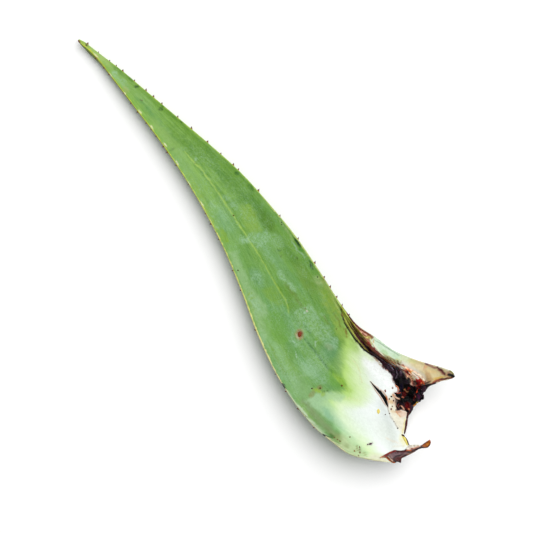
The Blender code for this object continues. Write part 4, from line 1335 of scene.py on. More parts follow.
class Recipe:
    """A material, with one short call for each kind of node that the finishes use."""

    def __init__(self, name):
        self.material = bpy.data.materials.new(name)
        self.material.use_nodes = True
        self.tree = self.material.node_tree
        self.shader = self.tree.nodes["Principled BSDF"]
        self.places = self.node("ShaderNodeTexCoord").outputs["Object"]

    def put(self, socket, value):
        if isinstance(value, bpy.types.NodeSocket):
            self.tree.links.new(value, socket)
        else:
            socket.default_value = value

    def node(self, kind, inputs=(), **settings):
        new = self.tree.nodes.new(kind)
        for key, value in settings.items():
            setattr(new, key, value)
        for key, value in dict(inputs).items():
            self.put(new.inputs[key], value)
        return new

    def amount(self, name):
        """A named number kept on the points of the mesh."""
        return self.node("ShaderNodeAttribute", attribute_name=name).outputs["Fac"]

    def strokes(self):
        """The painted colour kept on the points of the mesh."""
        return self.node("ShaderNodeAttribute", attribute_name="strokes").outputs["Color"]

    def math(self, operation, first, second=0.0):
        return self.node("ShaderNodeMath", {0: first, 1: second}, operation=operation).outputs[0]

    def plus(self, first, second):
        return self.math("ADD", first, second)

    def times(self, first, second):
        return self.math("MULTIPLY", first, second)

    def scaled(self, vector, factors):
        return self.node("ShaderNodeVectorMath", {0: vector, 1: factors}, operation="MULTIPLY").outputs[0]

    def noise(self, vector, factors, detail=3.0, roughness=0.5, distortion=0.0):
        """Noise with this many waves per metre along each axis."""
        inputs = {"Vector": self.scaled(vector, factors), "Scale": 1.0, "Detail": detail}
        inputs.update({"Roughness": roughness, "Distortion": distortion})
        return self.node("ShaderNodeTexNoise", inputs).outputs[0]

    def grains(self, waves, detail=3.0, roughness=0.6, distortion=0.0):
        """Noise with the same waves per metre all ways."""
        return self.noise(self.places, (waves, waves, waves), detail, roughness, distortion)

    def ramp(self, value, low, high, start=0.0, end=1.0):
        """A smooth step of the value from start to end."""
        inputs = {0: value, 1: low, 2: high, 3: start, 4: end}
        return self.node("ShaderNodeMapRange", inputs, interpolation_type="SMOOTHSTEP").outputs[0]

    def mix(self, share, first, second, way="MIX"):
        inputs = {0: share, 6: first, 7: second}
        return self.node("ShaderNodeMix", inputs, data_type="RGBA", blend_type=way).outputs[2]

    def between(self, share, first, second):
        """A number between two."""
        return self.node("ShaderNodeMix", {0: share, 2: first, 3: second}).outputs[0]

    def over(self, ground, strokes, share):
        """The strokes, and the ground where their share leaves it bare."""
        return self.mix(1.0, self.mix(share, ground, NOTHING), strokes, "ADD")

    def finish(self, colour, roughness, height, depth, gloss=0.3):
        """Connect the stack to the shader, with the height as bump of this depth in metres."""
        self.put(self.shader.inputs["Base Color"], colour)
        self.put(self.shader.inputs["Roughness"], roughness)
        self.shader.inputs["Specular IOR Level"].default_value = gloss
        bump = self.node("ShaderNodeBump", {"Height": height, "Distance": depth})
        self.put(self.shader.inputs["Normal"], bump.outputs["Normal"])
        return self.material


print("recipes are ready")

# %% [markdown]
# ## Leaf skin
# The blade is mid green under a waxy bloom, with fine veins along the leaf. It yellows at the tip and at
# the margins. Past a soft border with lime streaks comes the white base. One material carries all of it,
# since on the leaf one finish grows into the next. The painted layers lie on top, and fine noise breaks
# them up, so that they look like skin and not like paint.

# %% Colours of the skin
GREEN = paint("#74a446")
DEEP_GREEN = paint("#5c9038")
BLUE_GREEN = paint("#6ca25c")
LIGHT_GREEN = paint("#8cba56")
BLOOM = paint("#8eba82")
PALE_WAX = paint("#a0c8a0")
TIP_YELLOW = paint("#a0c268")
LIME = paint("#bce27e")
PALE_LIME = paint("#dff6be")
PALE_MINT = paint("#acd89e")
WHITE = paint("#f8fffb")
BACK_GREEN = paint("#709658")
HAIR_DARK = (0.8, 0.84, 0.74, 1.0)
HAIR_LIGHT = (1.16, 1.1, 1.16, 1.0)
print("skin colours are mixed")


# %% The blade's greens
def blade_green(recipe, flow, crackle):
    """Green, deeper and bluer in patches, yellow to the tip, with streaks and a broken bloom."""
    x = recipe.node("ShaderNodeSeparateXYZ", {0: recipe.places}).outputs[0]
    broad = recipe.noise(flow, (12, 60, 4), 3.0, 0.6)
    patches = recipe.noise(flow, (40, 130, 30), 4.0, 0.6, 0.8)
    streaks = recipe.noise(flow, (26, 420, 4), 3.0, 0.55)
    towards_base = recipe.ramp(x, 0.09, -0.06)
    second_green = recipe.mix(towards_base, LIGHT_GREEN, BLUE_GREEN)
    colour = recipe.mix(recipe.ramp(broad, 0.35, 0.65), GREEN, second_green)
    colour = recipe.mix(recipe.ramp(patches, 0.5, 0.7, 0.0, 0.6), colour, DEEP_GREEN)
    colour = recipe.mix(recipe.ramp(streaks, 0.45, 0.8, 0.0, 0.4), colour, LIGHT_GREEN)
    colour = recipe.mix(recipe.ramp(x, 0.15, 0.25, 0.0, 0.6), colour, TIP_YELLOW)
    bloom = recipe.plus(recipe.ramp(patches, 0.5, 0.3, 0.0, 0.6), recipe.ramp(broad, 0.4, 0.7, 0.0, 0.25))
    waxy = recipe.times(bloom, recipe.times(crackle, recipe.ramp(x, 0.14, 0.04, 0.4, 1.0)))
    return recipe.mix(recipe.ramp(waxy, 0.1, 0.6, 0.0, 0.6), colour, BLOOM), streaks, waxy


def thin_web(recipe, waves, width):
    """Thin curved lines where a noise passes its middle value, like fine cracks in wax."""
    level = recipe.grains(waves, distortion=0.6)
    return recipe.ramp(recipe.math("ABSOLUTE", recipe.math("SUBTRACT", level, 0.5)), width, 0.0)


print("recipe of the greens is ready")


# %% The margins and the torn wall
def with_margins(recipe, colour, x, ragged):
    """A thin pale line on the margin, under it brown that is partly painted shade, and yellow green inside it
    on the right.
    """
    margin, left = recipe.amount("margin"), recipe.amount("left")
    rough_margin = recipe.plus(margin, recipe.ramp(ragged, 0.3, 0.7, -0.5, 0.5))
    unpainted = recipe.ramp(recipe.amount("painted"), 1.0, 0.6)

    right_width = recipe.ramp(x, -0.02, 0.06, 2.6, 2.2)
    left_width = recipe.ramp(x, 0.0, -0.05, 2.3, 2.9)
    width = recipe.between(left, right_width, left_width)
    on_rim = recipe.times(recipe.ramp(recipe.math("SUBTRACT", width, rough_margin), -0.6, 0.9), unpainted)
    on_rim = recipe.times(on_rim, recipe.ramp(margin, -1.0, 0.0))
    cream_rim = recipe.mix(recipe.ramp(x, -0.16, 0.0), paint("#e6e2b0"), paint("#e2e280"))
    left_rim = recipe.mix(recipe.ramp(x, 0.0, 0.12), cream_rim, paint("#c6d254"))
    right_rim = recipe.mix(recipe.ramp(x, 0.0, 0.05), paint("#bed07c"), paint("#b0ce64"))
    colour = recipe.mix(on_rim, colour, recipe.mix(left, right_rim, left_rim))

    start = recipe.between(left, recipe.ramp(x, -0.056, -0.066, 0.2, 1.5), 1.2)
    edge = recipe.ramp(rough_margin, start, recipe.math("SUBTRACT", start, 0.8))
    edge = recipe.times(edge, recipe.ramp(margin, -3.0, -1.6))
    edge = recipe.times(edge, recipe.times(unpainted, recipe.ramp(ragged, 0.35, 0.6, 0.35, 0.9)))
    # painted shade: part of this brown stands for the shade under the margin's edge
    edge_brown_and_shade = recipe.mix(recipe.ramp(x, -0.1, 0.1), paint("#846446"), paint("#605428"))
    colour = recipe.mix(edge, colour, edge_brown_and_shade)
    torn_colour = recipe.mix(recipe.ramp(ragged, 0.4, 0.6), paint("#e6dcb8"), paint("#965c3c"))
    return recipe.mix(recipe.amount("torn"), colour, torn_colour)


print("recipe of the margins is ready")


# %% The whole skin
def with_base(recipe, colour, flow):
    """Lime streaks over the border of the base, then white further in, and a painted grey shade along the
    fold.
    """
    streak = recipe.ramp(recipe.noise(flow, (22, 240, 4), 4.0, 0.6), 0.25, 0.75, -2.6, 2.6)
    border = recipe.plus(recipe.amount("pale"), streak)
    minty = recipe.amount("minty")
    colour = recipe.mix(recipe.ramp(border, -4.5, 3.5), colour, recipe.mix(minty, LIME, PALE_MINT))
    inwards = recipe.times(border, recipe.ramp(minty, 0.0, 1.0, 1.0, 1.35))
    colour = recipe.mix(recipe.ramp(inwards, 1.0, 15.0), colour, PALE_LIME)
    colour = recipe.mix(recipe.ramp(inwards, 12.0, 32.0), colour, WHITE)
    return recipe.mix(recipe.ramp(recipe.amount("shade"), 0.0, 1.0, 0.0, 0.5), colour, paint("#dee8e6"))


def with_strokes(recipe, colour, fibre, x):
    """The painted strokes, broken up by noise, and streaked by fibres where the wing is dried."""
    dried = recipe.amount("dried")
    streaky = recipe.mix(dried, recipe.grains(420), fibre)
    tint = recipe.mix(recipe.ramp(streaky, 0.3, 0.7), paint("#dad4d0"), FULL)
    strokes = recipe.strokes()
    streaked = recipe.mix(1.0, strokes, tint, "MULTIPLY")
    shaded = recipe.mix(recipe.ramp(dried, 0.0, 1.0, 0.25, 0.9), strokes, streaked)
    gaps = recipe.ramp(recipe.grains(300, 5.0, 0.75), 0.38, 0.55, 0.5, 1.0)
    broken = recipe.math("MAXIMUM", recipe.ramp(x, -0.09, -0.12), gaps)
    share = recipe.times(recipe.amount("painted"), broken)
    return recipe.over(colour, recipe.mix(broken, NOTHING, shaded), share)


def with_wax(recipe, colour, x):
    """Pale wax: flakes and a web of fine cracks in the marked patches, and a thin web elsewhere."""
    web = recipe.math("MAXIMUM", thin_web(recipe, 230, 0.022), recipe.times(thin_web(recipe, 480, 0.03), 0.7))
    flaky = recipe.ramp(recipe.grains(430, 4.0, 0.8, 0.5), 0.45, 0.55, 0.1, 0.8)
    marked = recipe.times(recipe.amount("bloomed"), recipe.math("MAXIMUM", flaky, recipe.times(web, 0.9)))
    patches = recipe.ramp(recipe.grains(32, distortion=0.5), 0.45, 0.65, 0.0, 0.5)
    on_green = recipe.ramp(recipe.amount("pale"), -2.0, -12.0)
    webbed = recipe.times(web, recipe.times(patches, on_green))
    webbed = recipe.times(webbed, recipe.times(recipe.amount("face"), recipe.ramp(x, 0.16, 0.1)))
    return recipe.mix(recipe.math("MAXIMUM", marked, webbed), colour, PALE_WAX)


ACROSS_METRES = 0.035  # the shares across the leaf are stretched to about its half width
SAP_GLOSS = 0.28  # roughness of the dried sap
SKIN_BUMP = 0.0004


def leaf_skin():
    """Green, base, strokes, wax, margins and sap, in this order."""
    recipe = Recipe("waxy_leaf_skin")
    x, _, z = recipe.node("ShaderNodeSeparateXYZ", {0: recipe.places}).outputs
    across_place = recipe.times(recipe.amount("across"), ACROSS_METRES)
    flow = recipe.node("ShaderNodeCombineXYZ", {0: x, 1: across_place, 2: z}).outputs[0]
    speck = recipe.grains(900)
    ragged = recipe.grains(260, 4.0, 0.65)
    crackle = recipe.ramp(recipe.grains(170, 5.0, 0.72, 0.6), 0.4, 0.6)
    fibre = recipe.noise(flow, (30, 950, 20), 4.0, 0.6, 0.4)

    green, streaks, waxy = blade_green(recipe, flow, crackle)
    dusty = recipe.mix(0.5, green, paint("#96be8c"))
    green = recipe.mix(recipe.ramp(speck, 0.35, 0.65, 0.0, 0.3), green, dusty)
    hair = recipe.noise(flow, (70, 1500, 10), 4.0, 0.65, 0.3)
    hairs = recipe.mix(recipe.ramp(hair, 0.3, 0.7), HAIR_DARK, HAIR_LIGHT)
    green = recipe.mix(1.0, green, hairs, "MULTIPLY")
    green = recipe.mix(recipe.amount("face"), recipe.mix(0.5, green, BACK_GREEN), green)

    colour = with_base(recipe, green, flow)
    colour = with_strokes(recipe, colour, fibre, x)
    colour = with_wax(recipe, colour, x)
    colour = with_margins(recipe, colour, x, ragged)
    sap = recipe.plus(recipe.amount("black"), recipe.ramp(ragged, 0.3, 0.7, -0.2, 0.2))
    on_sap = recipe.ramp(sap, 0.35, 0.65)
    colour = recipe.mix(on_sap, colour, SAP)

    roughness = recipe.ramp(waxy, 0.0, 0.6, 0.4, 0.6)
    roughness = recipe.plus(roughness, recipe.ramp(speck, 0.3, 0.7, -0.05, 0.08))
    roughness = recipe.between(on_sap, roughness, SAP_GLOSS)
    height = recipe.plus(recipe.times(streaks, 0.5), recipe.times(speck, 0.3))
    height = recipe.plus(height, recipe.times(crackle, 0.25))
    height = recipe.plus(height, recipe.times(recipe.times(fibre, recipe.amount("dried")), 3.0))
    return recipe.finish(colour, roughness, height, SKIN_BUMP)


skin_material = leaf_skin()
minty = smoothstep(398.0, 420.0, spot_y)  # the border's lower part is more minty than lime
on_left = smoothstep(-0.3, 0.3, place_v)
skin_values = {
    "across": place_v, "margin": margin, "left": on_left, "face": on_face, "torn": torn, "pale": pale,
    "minty": minty, "dried": dried, "black": black * on_face, "shade": shade * on_face,
    "strokes": paint_colour, "painted": paint_share, "bloomed": bloomed,
}
leaf, face_groups = new_piece("leaf_skin_surface", skin_points, face_groups, skin_values, skin_material)
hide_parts("leaf")
print("leaf skin:", sum(len(group) for group in face_groups), "faces")

# %% [markdown]
# Other programs will want the colours as a picture. The skin is therefore also laid out flat, in four
# strips that don't overlap: the face of the base, the face of the blade, the whole back, and the torn
# wall. The two face strips are the largest, since most of the detail lies there.

# %% Flat layout of the skin, four strips above each other
LAYOUT_GAP = 0.01
BACK_SHARE = 0.22
WALL_SHARE = 0.03
HALF_LEAF = 254.0  # mm, a little more than half of the leaf's length
BASE_STRIP, BLADE_STRIP, BACK_STRIP, WALL_STRIP = range(4)


def lay_out(piece, groups):
    """Each face goes to a strip; its corners take u from their x and v from their place along the ring."""
    top = with_wall(top_mm, wall_v * 0, 0.0)
    under = with_wall(under_mm, wall_v * 0, 0.0)
    below = -0.001  # mm, so that the faces right on the margin all go with the upper side
    is_back = [margin[groups[0]].mean(axis=1) < below, None, None, margin[groups[3]].mean(axis=1) < below]
    strips = []
    for group, back in zip(groups, is_back):
        blade = place_x[group].mean(axis=1) > 0
        face_strip = np.where(blade, BLADE_STRIP, BASE_STRIP)
        whole_wall = np.full(len(group), WALL_STRIP)
        strips.append(whole_wall if back is None else np.where(back, BACK_STRIP, face_strip))
    values = (top, top, under)
    reach = []
    for strip, value in enumerate(values):
        there = np.concatenate([value[group[part == strip]].ravel() for group, part in zip(groups, strips)])
        reach.append((there.min(), there.max() - there.min()))
    room, span = 1 - 5 * LAYOUT_GAP - BACK_SHARE - WALL_SHARE, 1 - 2 * LAYOUT_GAP
    face_scale = min(room / (reach[0][1] + reach[1][1]), span / HALF_LEAF)
    back_scale = min(BACK_SHARE / reach[2][1], span / (2 * HALF_LEAF))
    scales = (face_scale, face_scale, back_scale)
    starts = np.cumsum([LAYOUT_GAP] + [size * scale + LAYOUT_GAP for (_, size), scale in zip(reach, scales)])
    corners = []
    for group, part in zip(groups, strips):
        u, v = np.zeros(group.shape), np.zeros(group.shape)
        for strip, (value, scale) in enumerate(zip(values, scales)):
            here = part == strip
            first = 0.0 if strip == BLADE_STRIP else -HALF_LEAF
            u[here] = (place_x[group[here]] - first) * scale + LAYOUT_GAP
            v[here] = (value[group[here]] - reach[strip][0]) * scale + starts[strip]
        here = part == WALL_STRIP
        u[here] = (place_v[group[here]] + 1) / 2 * span + LAYOUT_GAP
        v[here] = side[group[here]] * WALL_SHARE + starts[WALL_STRIP]
        corners.append(np.stack([u, v], -1).reshape(-1, 2))
    flat = np.concatenate(corners).astype(np.float32)
    piece.data.uv_layers.new(name="OFBake").data.foreach_set("uv", flat.ravel())
    return face_scale, back_scale, flat


face_scale, back_scale, flat_places = lay_out(leaf, face_groups)
print("layout reaches", flat_places.min(axis=0), "to", flat_places.max(axis=0))
print("its side, in mm:", round(1 / face_scale), "on the face and", round(1 / back_scale), "on the back")

# %% [markdown]
# ## Marginal teeth
# Small brown teeth stand along both margins, each a flat horny hook that leans towards the tip, on a
# pale foot. They could be cones. Rings of points along a bent line were taken instead, since those
# give the lean and the flat shape, and all the teeth are made in one go. Their places are the ones that
# the photo shows.


# %% Closed tubes from stacks of rings
def tubes(rings):
    """Points and faces of closed skins over stacks of rings: items, rings, sides and x y z."""
    items, count, sides = rings.shape[:3]
    ends = rings[:, [0, -1]].mean(axis=2)
    points = np.concatenate([rings.reshape(items, -1, 3), ends], axis=1).reshape(-1, 3)
    size = count * sides + 2
    index = np.arange(count * sides).reshape(count, sides)
    closed = np.concatenate([index, index[:, :1]], axis=1)
    first = np.stack([np.full(sides, size - 2), closed[0, 1:], closed[0, :-1]], -1)
    last = np.stack([np.full(sides, size - 1), closed[-1, :-1], closed[-1, 1:]], -1)
    offsets = np.arange(items)[:, None, None] * size
    quads = (grid_quads(closed)[None] + offsets).reshape(-1, 4)
    threes = (np.concatenate([first, last])[None] + offsets).reshape(-1, 3)
    return points, [quads, threes]


def per_ring(values, sides):
    """One number per ring, given to its points and to the two end points."""
    spread = np.repeat(values[:, :, None], sides, axis=2).reshape(len(values), -1)
    return np.concatenate([spread, values[:, [0]], values[:, [-1]]], axis=1).ravel()


FIRST_HEIGHT = 17.0  # a guess, in mm, that each round improves
HEIGHT_ROUNDS = 3


def skin_place(pixel_x, pixel_y, lift=0.0):
    """Point of the hollow face that is seen at a pixel, with its relief, in mm."""
    pixel_x, pixel_y = np.asarray(pixel_x, dtype=float), np.asarray(pixel_y, dtype=float)
    z = np.full(np.shape(pixel_x), FIRST_HEIGHT)
    for _ in range(HEIGHT_ROUNDS):
        nearness = CAMERA_DISTANCE / (CAMERA_DISTANCE - (z - VIEW_CENTRE[2]))
        x, y = from_photo(pixel_x, pixel_y)
        x = VIEW_CENTRE[0] + (x - VIEW_CENTRE[0]) / nearness - CENTRING[0]
        y = VIEW_CENTRE[1] + (y - VIEW_CENTRE[1]) / nearness - CENTRING[1]
        z = face_height(x, y)
    v = across(x, y).clip(-1, 1)
    room = (1 - np.abs(v)) * leaf_width(x) / 2
    z = z + face_relief(x, v, pixel_x, pixel_y) * smoothstep(0.0, RELIEF_EASE, room)
    return np.stack([x, y, z + lift], axis=-1)


print("a place in the slit, mm:", skin_place(*SLIT[3]).round(1))


# %% Teeth on the margins
RIGHT_TEETH = (
    (86.5, 44.8), (98.3, 52.6), (109.6, 60.4), (116.2, 65.5), (123.7, 71.1), (135.6, 80.3), (146.3, 90.2),
    (154.5, 96.4), (162.6, 104.1), (178.6, 117.2), (192.2, 128.2), (207.7, 141.2), (221.6, 153.7),
    (232.6, 165.5), (239.4, 169.6), (258.9, 190.6), (280.5, 215.8), (298.2, 239), (314.4, 262.9),
    (324.3, 277.4), (330.9, 287.4), (336.9, 297.3), (342.3, 305.2), (348.9, 315.1),
)
LEFT_TEETH = (
    (96.4, 58.7), (102.9, 68.6), (109.8, 75.1), (123.6, 92.7), (130.8, 103.4), (139.2, 111.5),
    (147.3, 123.3), (152.2, 128.7), (156.5, 136.3), (164.5, 145.5), (168.6, 152.2), (177.7, 163.8),
    (188.9, 183.7), (206.7, 213.6), (212, 223), (219.4, 238.9), (233.5, 270.4), (241, 290), (256.5, 330.5),
    (276.4, 374.4), (287, 391), (298, 409), (315, 427),
)
TOOTH_LENGTH = 1.9
TOOTH_FOOT = 1.5  # half of the foot's length along the margin
TOOTH_THICK = 0.7
TOOTH_ROOT = 0.7  # how deep it starts in the leaf
TOOTH_RISE = 0.25
LENGTH_SPREAD = (0.75, 1.2)
LEAN_SPREAD = (0.4, 1.0)
POINT_SIZE = (0.09, 0.08)  # what is left of its length and thickness at the point
TOOTH_RINGS = 7
TOOTH_SIDES = 8
NEIGHBOUR_ROWS = 4  # the margin's direction is taken this many rows ahead and behind


def circle(sides):
    """Angles round a circle."""
    return np.linspace(0, 2 * math.pi, sides, endpoint=False)


def unit(vectors):
    """The vectors at length 1."""
    return vectors / np.linalg.norm(vectors, axis=1)[:, None]


def on_margin(places, column_number):
    """Points of one column of the rings that are seen nearest to the pixels."""
    line_points = rings[:, column_number]
    u, v = seen_at(line_points)
    places = np.array(places)
    nearest = np.argmin(np.hypot(u[None, :] - places[:, :1], v[None, :] - places[:, 1:]), axis=1)
    return line_points[nearest], nearest


def tooth_rings(places, column_number, outward_sign, length_share, seed):
    """Rings of hooks at the pixels: out from the margin, leaning towards the tip, flat and pointed."""
    chance = np.random.default_rng(seed)
    foot, nearest = on_margin(places, column_number)
    before, after = (nearest - NEIGHBOUR_ROWS).clip(0), (nearest + NEIGHBOUR_ROWS).clip(None, len(rings) - 1)
    along = unit(rings[before, column_number] - rings[after, column_number])
    out = np.stack([-along[:, 1], along[:, 0], 0 * along[:, 0]], -1) * outward_sign
    out[:, 2] = TOOTH_RISE
    out = unit(out)
    over = np.cross(out, along)
    length = TOOTH_LENGTH * length_share * chance.uniform(*LENGTH_SPREAD, len(foot))[:, None, None]
    lean = chance.uniform(*LEAN_SPREAD, len(foot))[:, None, None]
    s = np.linspace(0, 1, TOOTH_RINGS)[None, :, None]
    middle = foot[:, None] + out[:, None] * (s * (length + TOOTH_ROOT) - TOOTH_ROOT)
    middle = middle + along[:, None] * (lean * s**1.8 * length * 0.8)
    wide = TOOTH_FOOT * (length / TOOTH_LENGTH) * (1 - s) ** 1.1 + POINT_SIZE[0]
    thick = TOOTH_THICK * (1 - s) + POINT_SIZE[1]
    turn = circle(TOOTH_SIDES)
    ring = along[:, None, None] * (wide * np.cos(turn))[..., None]
    ring = ring + over[:, None, None] * (thick * np.sin(turn))[..., None]
    return middle[:, :, None] + ring, np.repeat(s[..., 0], len(foot), axis=0)


right_arc_column = rings.shape[1] - (ARC_STEPS - 1) // 2
left_arc_column = FACE_STEPS + (ARC_STEPS - 1) // 2
right_rings, right_share = tooth_rings(RIGHT_TEETH, right_arc_column, -1.0, 1.0, 51)
left_rings, left_share = tooth_rings(LEFT_TEETH, left_arc_column, 1.0, 0.75, 52)
tooth_points, tooth_faces = tubes(np.concatenate([right_rings, left_rings]))
tooth_share = per_ring(np.concatenate([right_share, left_share]), TOOTH_SIDES)
print("teeth:", len(right_rings) + len(left_rings))


# %% Horny teeth: pale foot, red-brown hook, dark point
FINE_BUMP = 0.0002


def tooth_horn():
    """Pale, red-brown and dark in turn from foot to point."""
    recipe = Recipe("tooth_horn")
    mottle = recipe.grains(1500)
    place = recipe.plus(recipe.amount("tooth_share"), recipe.ramp(mottle, 0.3, 0.7, -0.12, 0.12))
    colour = recipe.mix(recipe.ramp(place, 0.12, 0.42), paint("#cec46e"), paint("#8a4228"))
    colour = recipe.mix(recipe.ramp(place, 0.45, 0.8), colour, paint("#4a1a18"))
    return recipe.finish(colour, recipe.ramp(mottle, 0.3, 0.7, 0.35, 0.5), mottle, FINE_BUMP)


new_piece("marginal_teeth", tooth_points, tooth_faces, {"tooth_share": tooth_share}, tooth_horn())
print("teeth stand on both margins")

# %% [markdown]
# ## Dried sap
# The crack beside the wing is filled with black dried sap. It is glossy, cracked into flakes that tilt
# every way, and it hangs over the torn edge at the notch. A sheet with a bumpy material was an option.
# A closed slab with real facets shows the gloss of each flake, so a fine grid over the crust's outline is
# lifted from the skin, each cell of it taking the tilt of the nearest flake.


# %% A closed slab over part of a grid
def slab(top, bottom, kept):
    """Points and quads of a closed slab between two grids of points, over the kept cells only."""
    for _ in range(3):
        one = kept[:-1, :-1] & kept[1:, 1:] & ~kept[1:, :-1] & ~kept[:-1, 1:]
        other = ~kept[:-1, :-1] & ~kept[1:, 1:] & kept[1:, :-1] & kept[:-1, 1:]
        kept[1:, :-1] |= one
        kept[:-1, :-1] |= other
    index = np.arange(top[..., 0].size).reshape(top.shape[:2])
    lower = index + index.size
    corners = [index[:-1, :-1], index[:-1, 1:], index[1:, 1:], index[1:, :-1]]
    below = [lower[:-1, :-1], lower[:-1, 1:], lower[1:, 1:], lower[1:, :-1]]
    quads = [np.stack(corners, -1)[kept], np.stack(below[::-1], -1)[kept]]
    padded = np.pad(kept, 1)
    empty = [padded[:-2, 1:-1], padded[1:-1, 2:], padded[2:, 1:-1], padded[1:-1, :-2]]
    for i, neighbour in enumerate(empty):
        j = (i + 1) % 4
        bare = kept & ~neighbour
        quads.append(np.stack([corners[j], corners[i], below[i], below[j]], -1)[bare])
    quads = np.concatenate(quads)
    used, renumbered = np.unique(quads, return_inverse=True)
    points = np.concatenate([top.reshape(-1, 3), bottom.reshape(-1, 3)])[used]
    return points, renumbered.reshape(quads.shape), used % index.size


print("slab maker is ready")


# %% The crust: flakes with a tilt each, over the crack and the torn edge
CRUST_U, CRUST_V = (362, 432), (341, 419)  # pixels that the grid spans
CRUST_STEP = 0.4  # pixels between the grid's points
FLAKE_COUNT, FLAKE_TILT, FLAKE_RISE = 190, 0.22, 0.6
CHIP_COUNT, CHIP_TILT, CHIP_RISE = 420, 0.16, 0.12
CRUST_ROOT = 0.5  # mm of it under the skin
CRUST_EDGE, CRUST_SWELL, CRUST_FILL = 0.45, 0.7, 0.6  # mm at its edge, mm more inside, share of the crack


def cells_inside(inside):
    """The cells of a grid whose four corners lie inside an outline."""
    corners = [inside[:-1, :-1], inside[1:, :-1], inside[:-1, 1:], inside[1:, 1:]]
    return np.minimum.reduce(corners) > 0


def flake_heights(u, v, count, tilt, rise, seed):
    """Heights of tilted flakes: each place belongs to the nearest of many random centres."""
    chance = np.random.default_rng(seed)
    centres = np.stack([chance.uniform(u.min(), u.max(), count), chance.uniform(v.min(), v.max(), count)])
    slopes = chance.uniform(-tilt, tilt, (2, count))
    raised = chance.uniform(-rise, rise, count)
    du, dv = u[..., None] - centres[0], v[..., None] - centres[1]
    distance = np.hypot((du + dv) * 0.5, (dv - du) * 0.9)
    nearest = np.argmin(distance, axis=-1)
    dx, dy = u - centres[0][nearest], v - centres[1][nearest]
    return raised[nearest] + slopes[0][nearest] * dx + slopes[1][nearest] * dy, raised[nearest] / rise


crust_v, crust_u = np.mgrid[slice(*CRUST_V, CRUST_STEP), slice(*CRUST_U, CRUST_STEP)]
shaken_u, shaken_v = shaken(crust_u, crust_v, 2.1, 1.9, 61)
crust_inside = within(shaken_u, shaken_v, CRUST_OUTLINE)
crust_top = skin_place(crust_u, crust_v)
crust_x, crust_y = crust_top[..., 0], crust_top[..., 1]
groove = crack_value(crust_x, CRACK_DEPTH) * groove_share(across(crust_x, crust_y), *crack_line(crust_x))
flakes, flake_tone = flake_heights(crust_u, crust_v, FLAKE_COUNT, FLAKE_TILT, FLAKE_RISE, 62)
chips, _ = flake_heights(crust_u, crust_v, CHIP_COUNT, CHIP_TILT, CHIP_RISE, 63)
crust_bottom = crust_top - [0, 0, CRUST_ROOT]
deep = smoothstep(0.0, 5.0, crust_inside)
lift = CRUST_EDGE * smoothstep(0.0, 1.0, crust_inside) + CRUST_SWELL * deep + CRUST_FILL * groove * deep
crust_top[..., 2] += lift + (flakes + chips) * smoothstep(0.3, 2.2, crust_inside)
crust_points, crust_quads, crust_places = slab(crust_top, crust_bottom, cells_inside(crust_inside))
print("crust:", len(crust_quads), "faces")
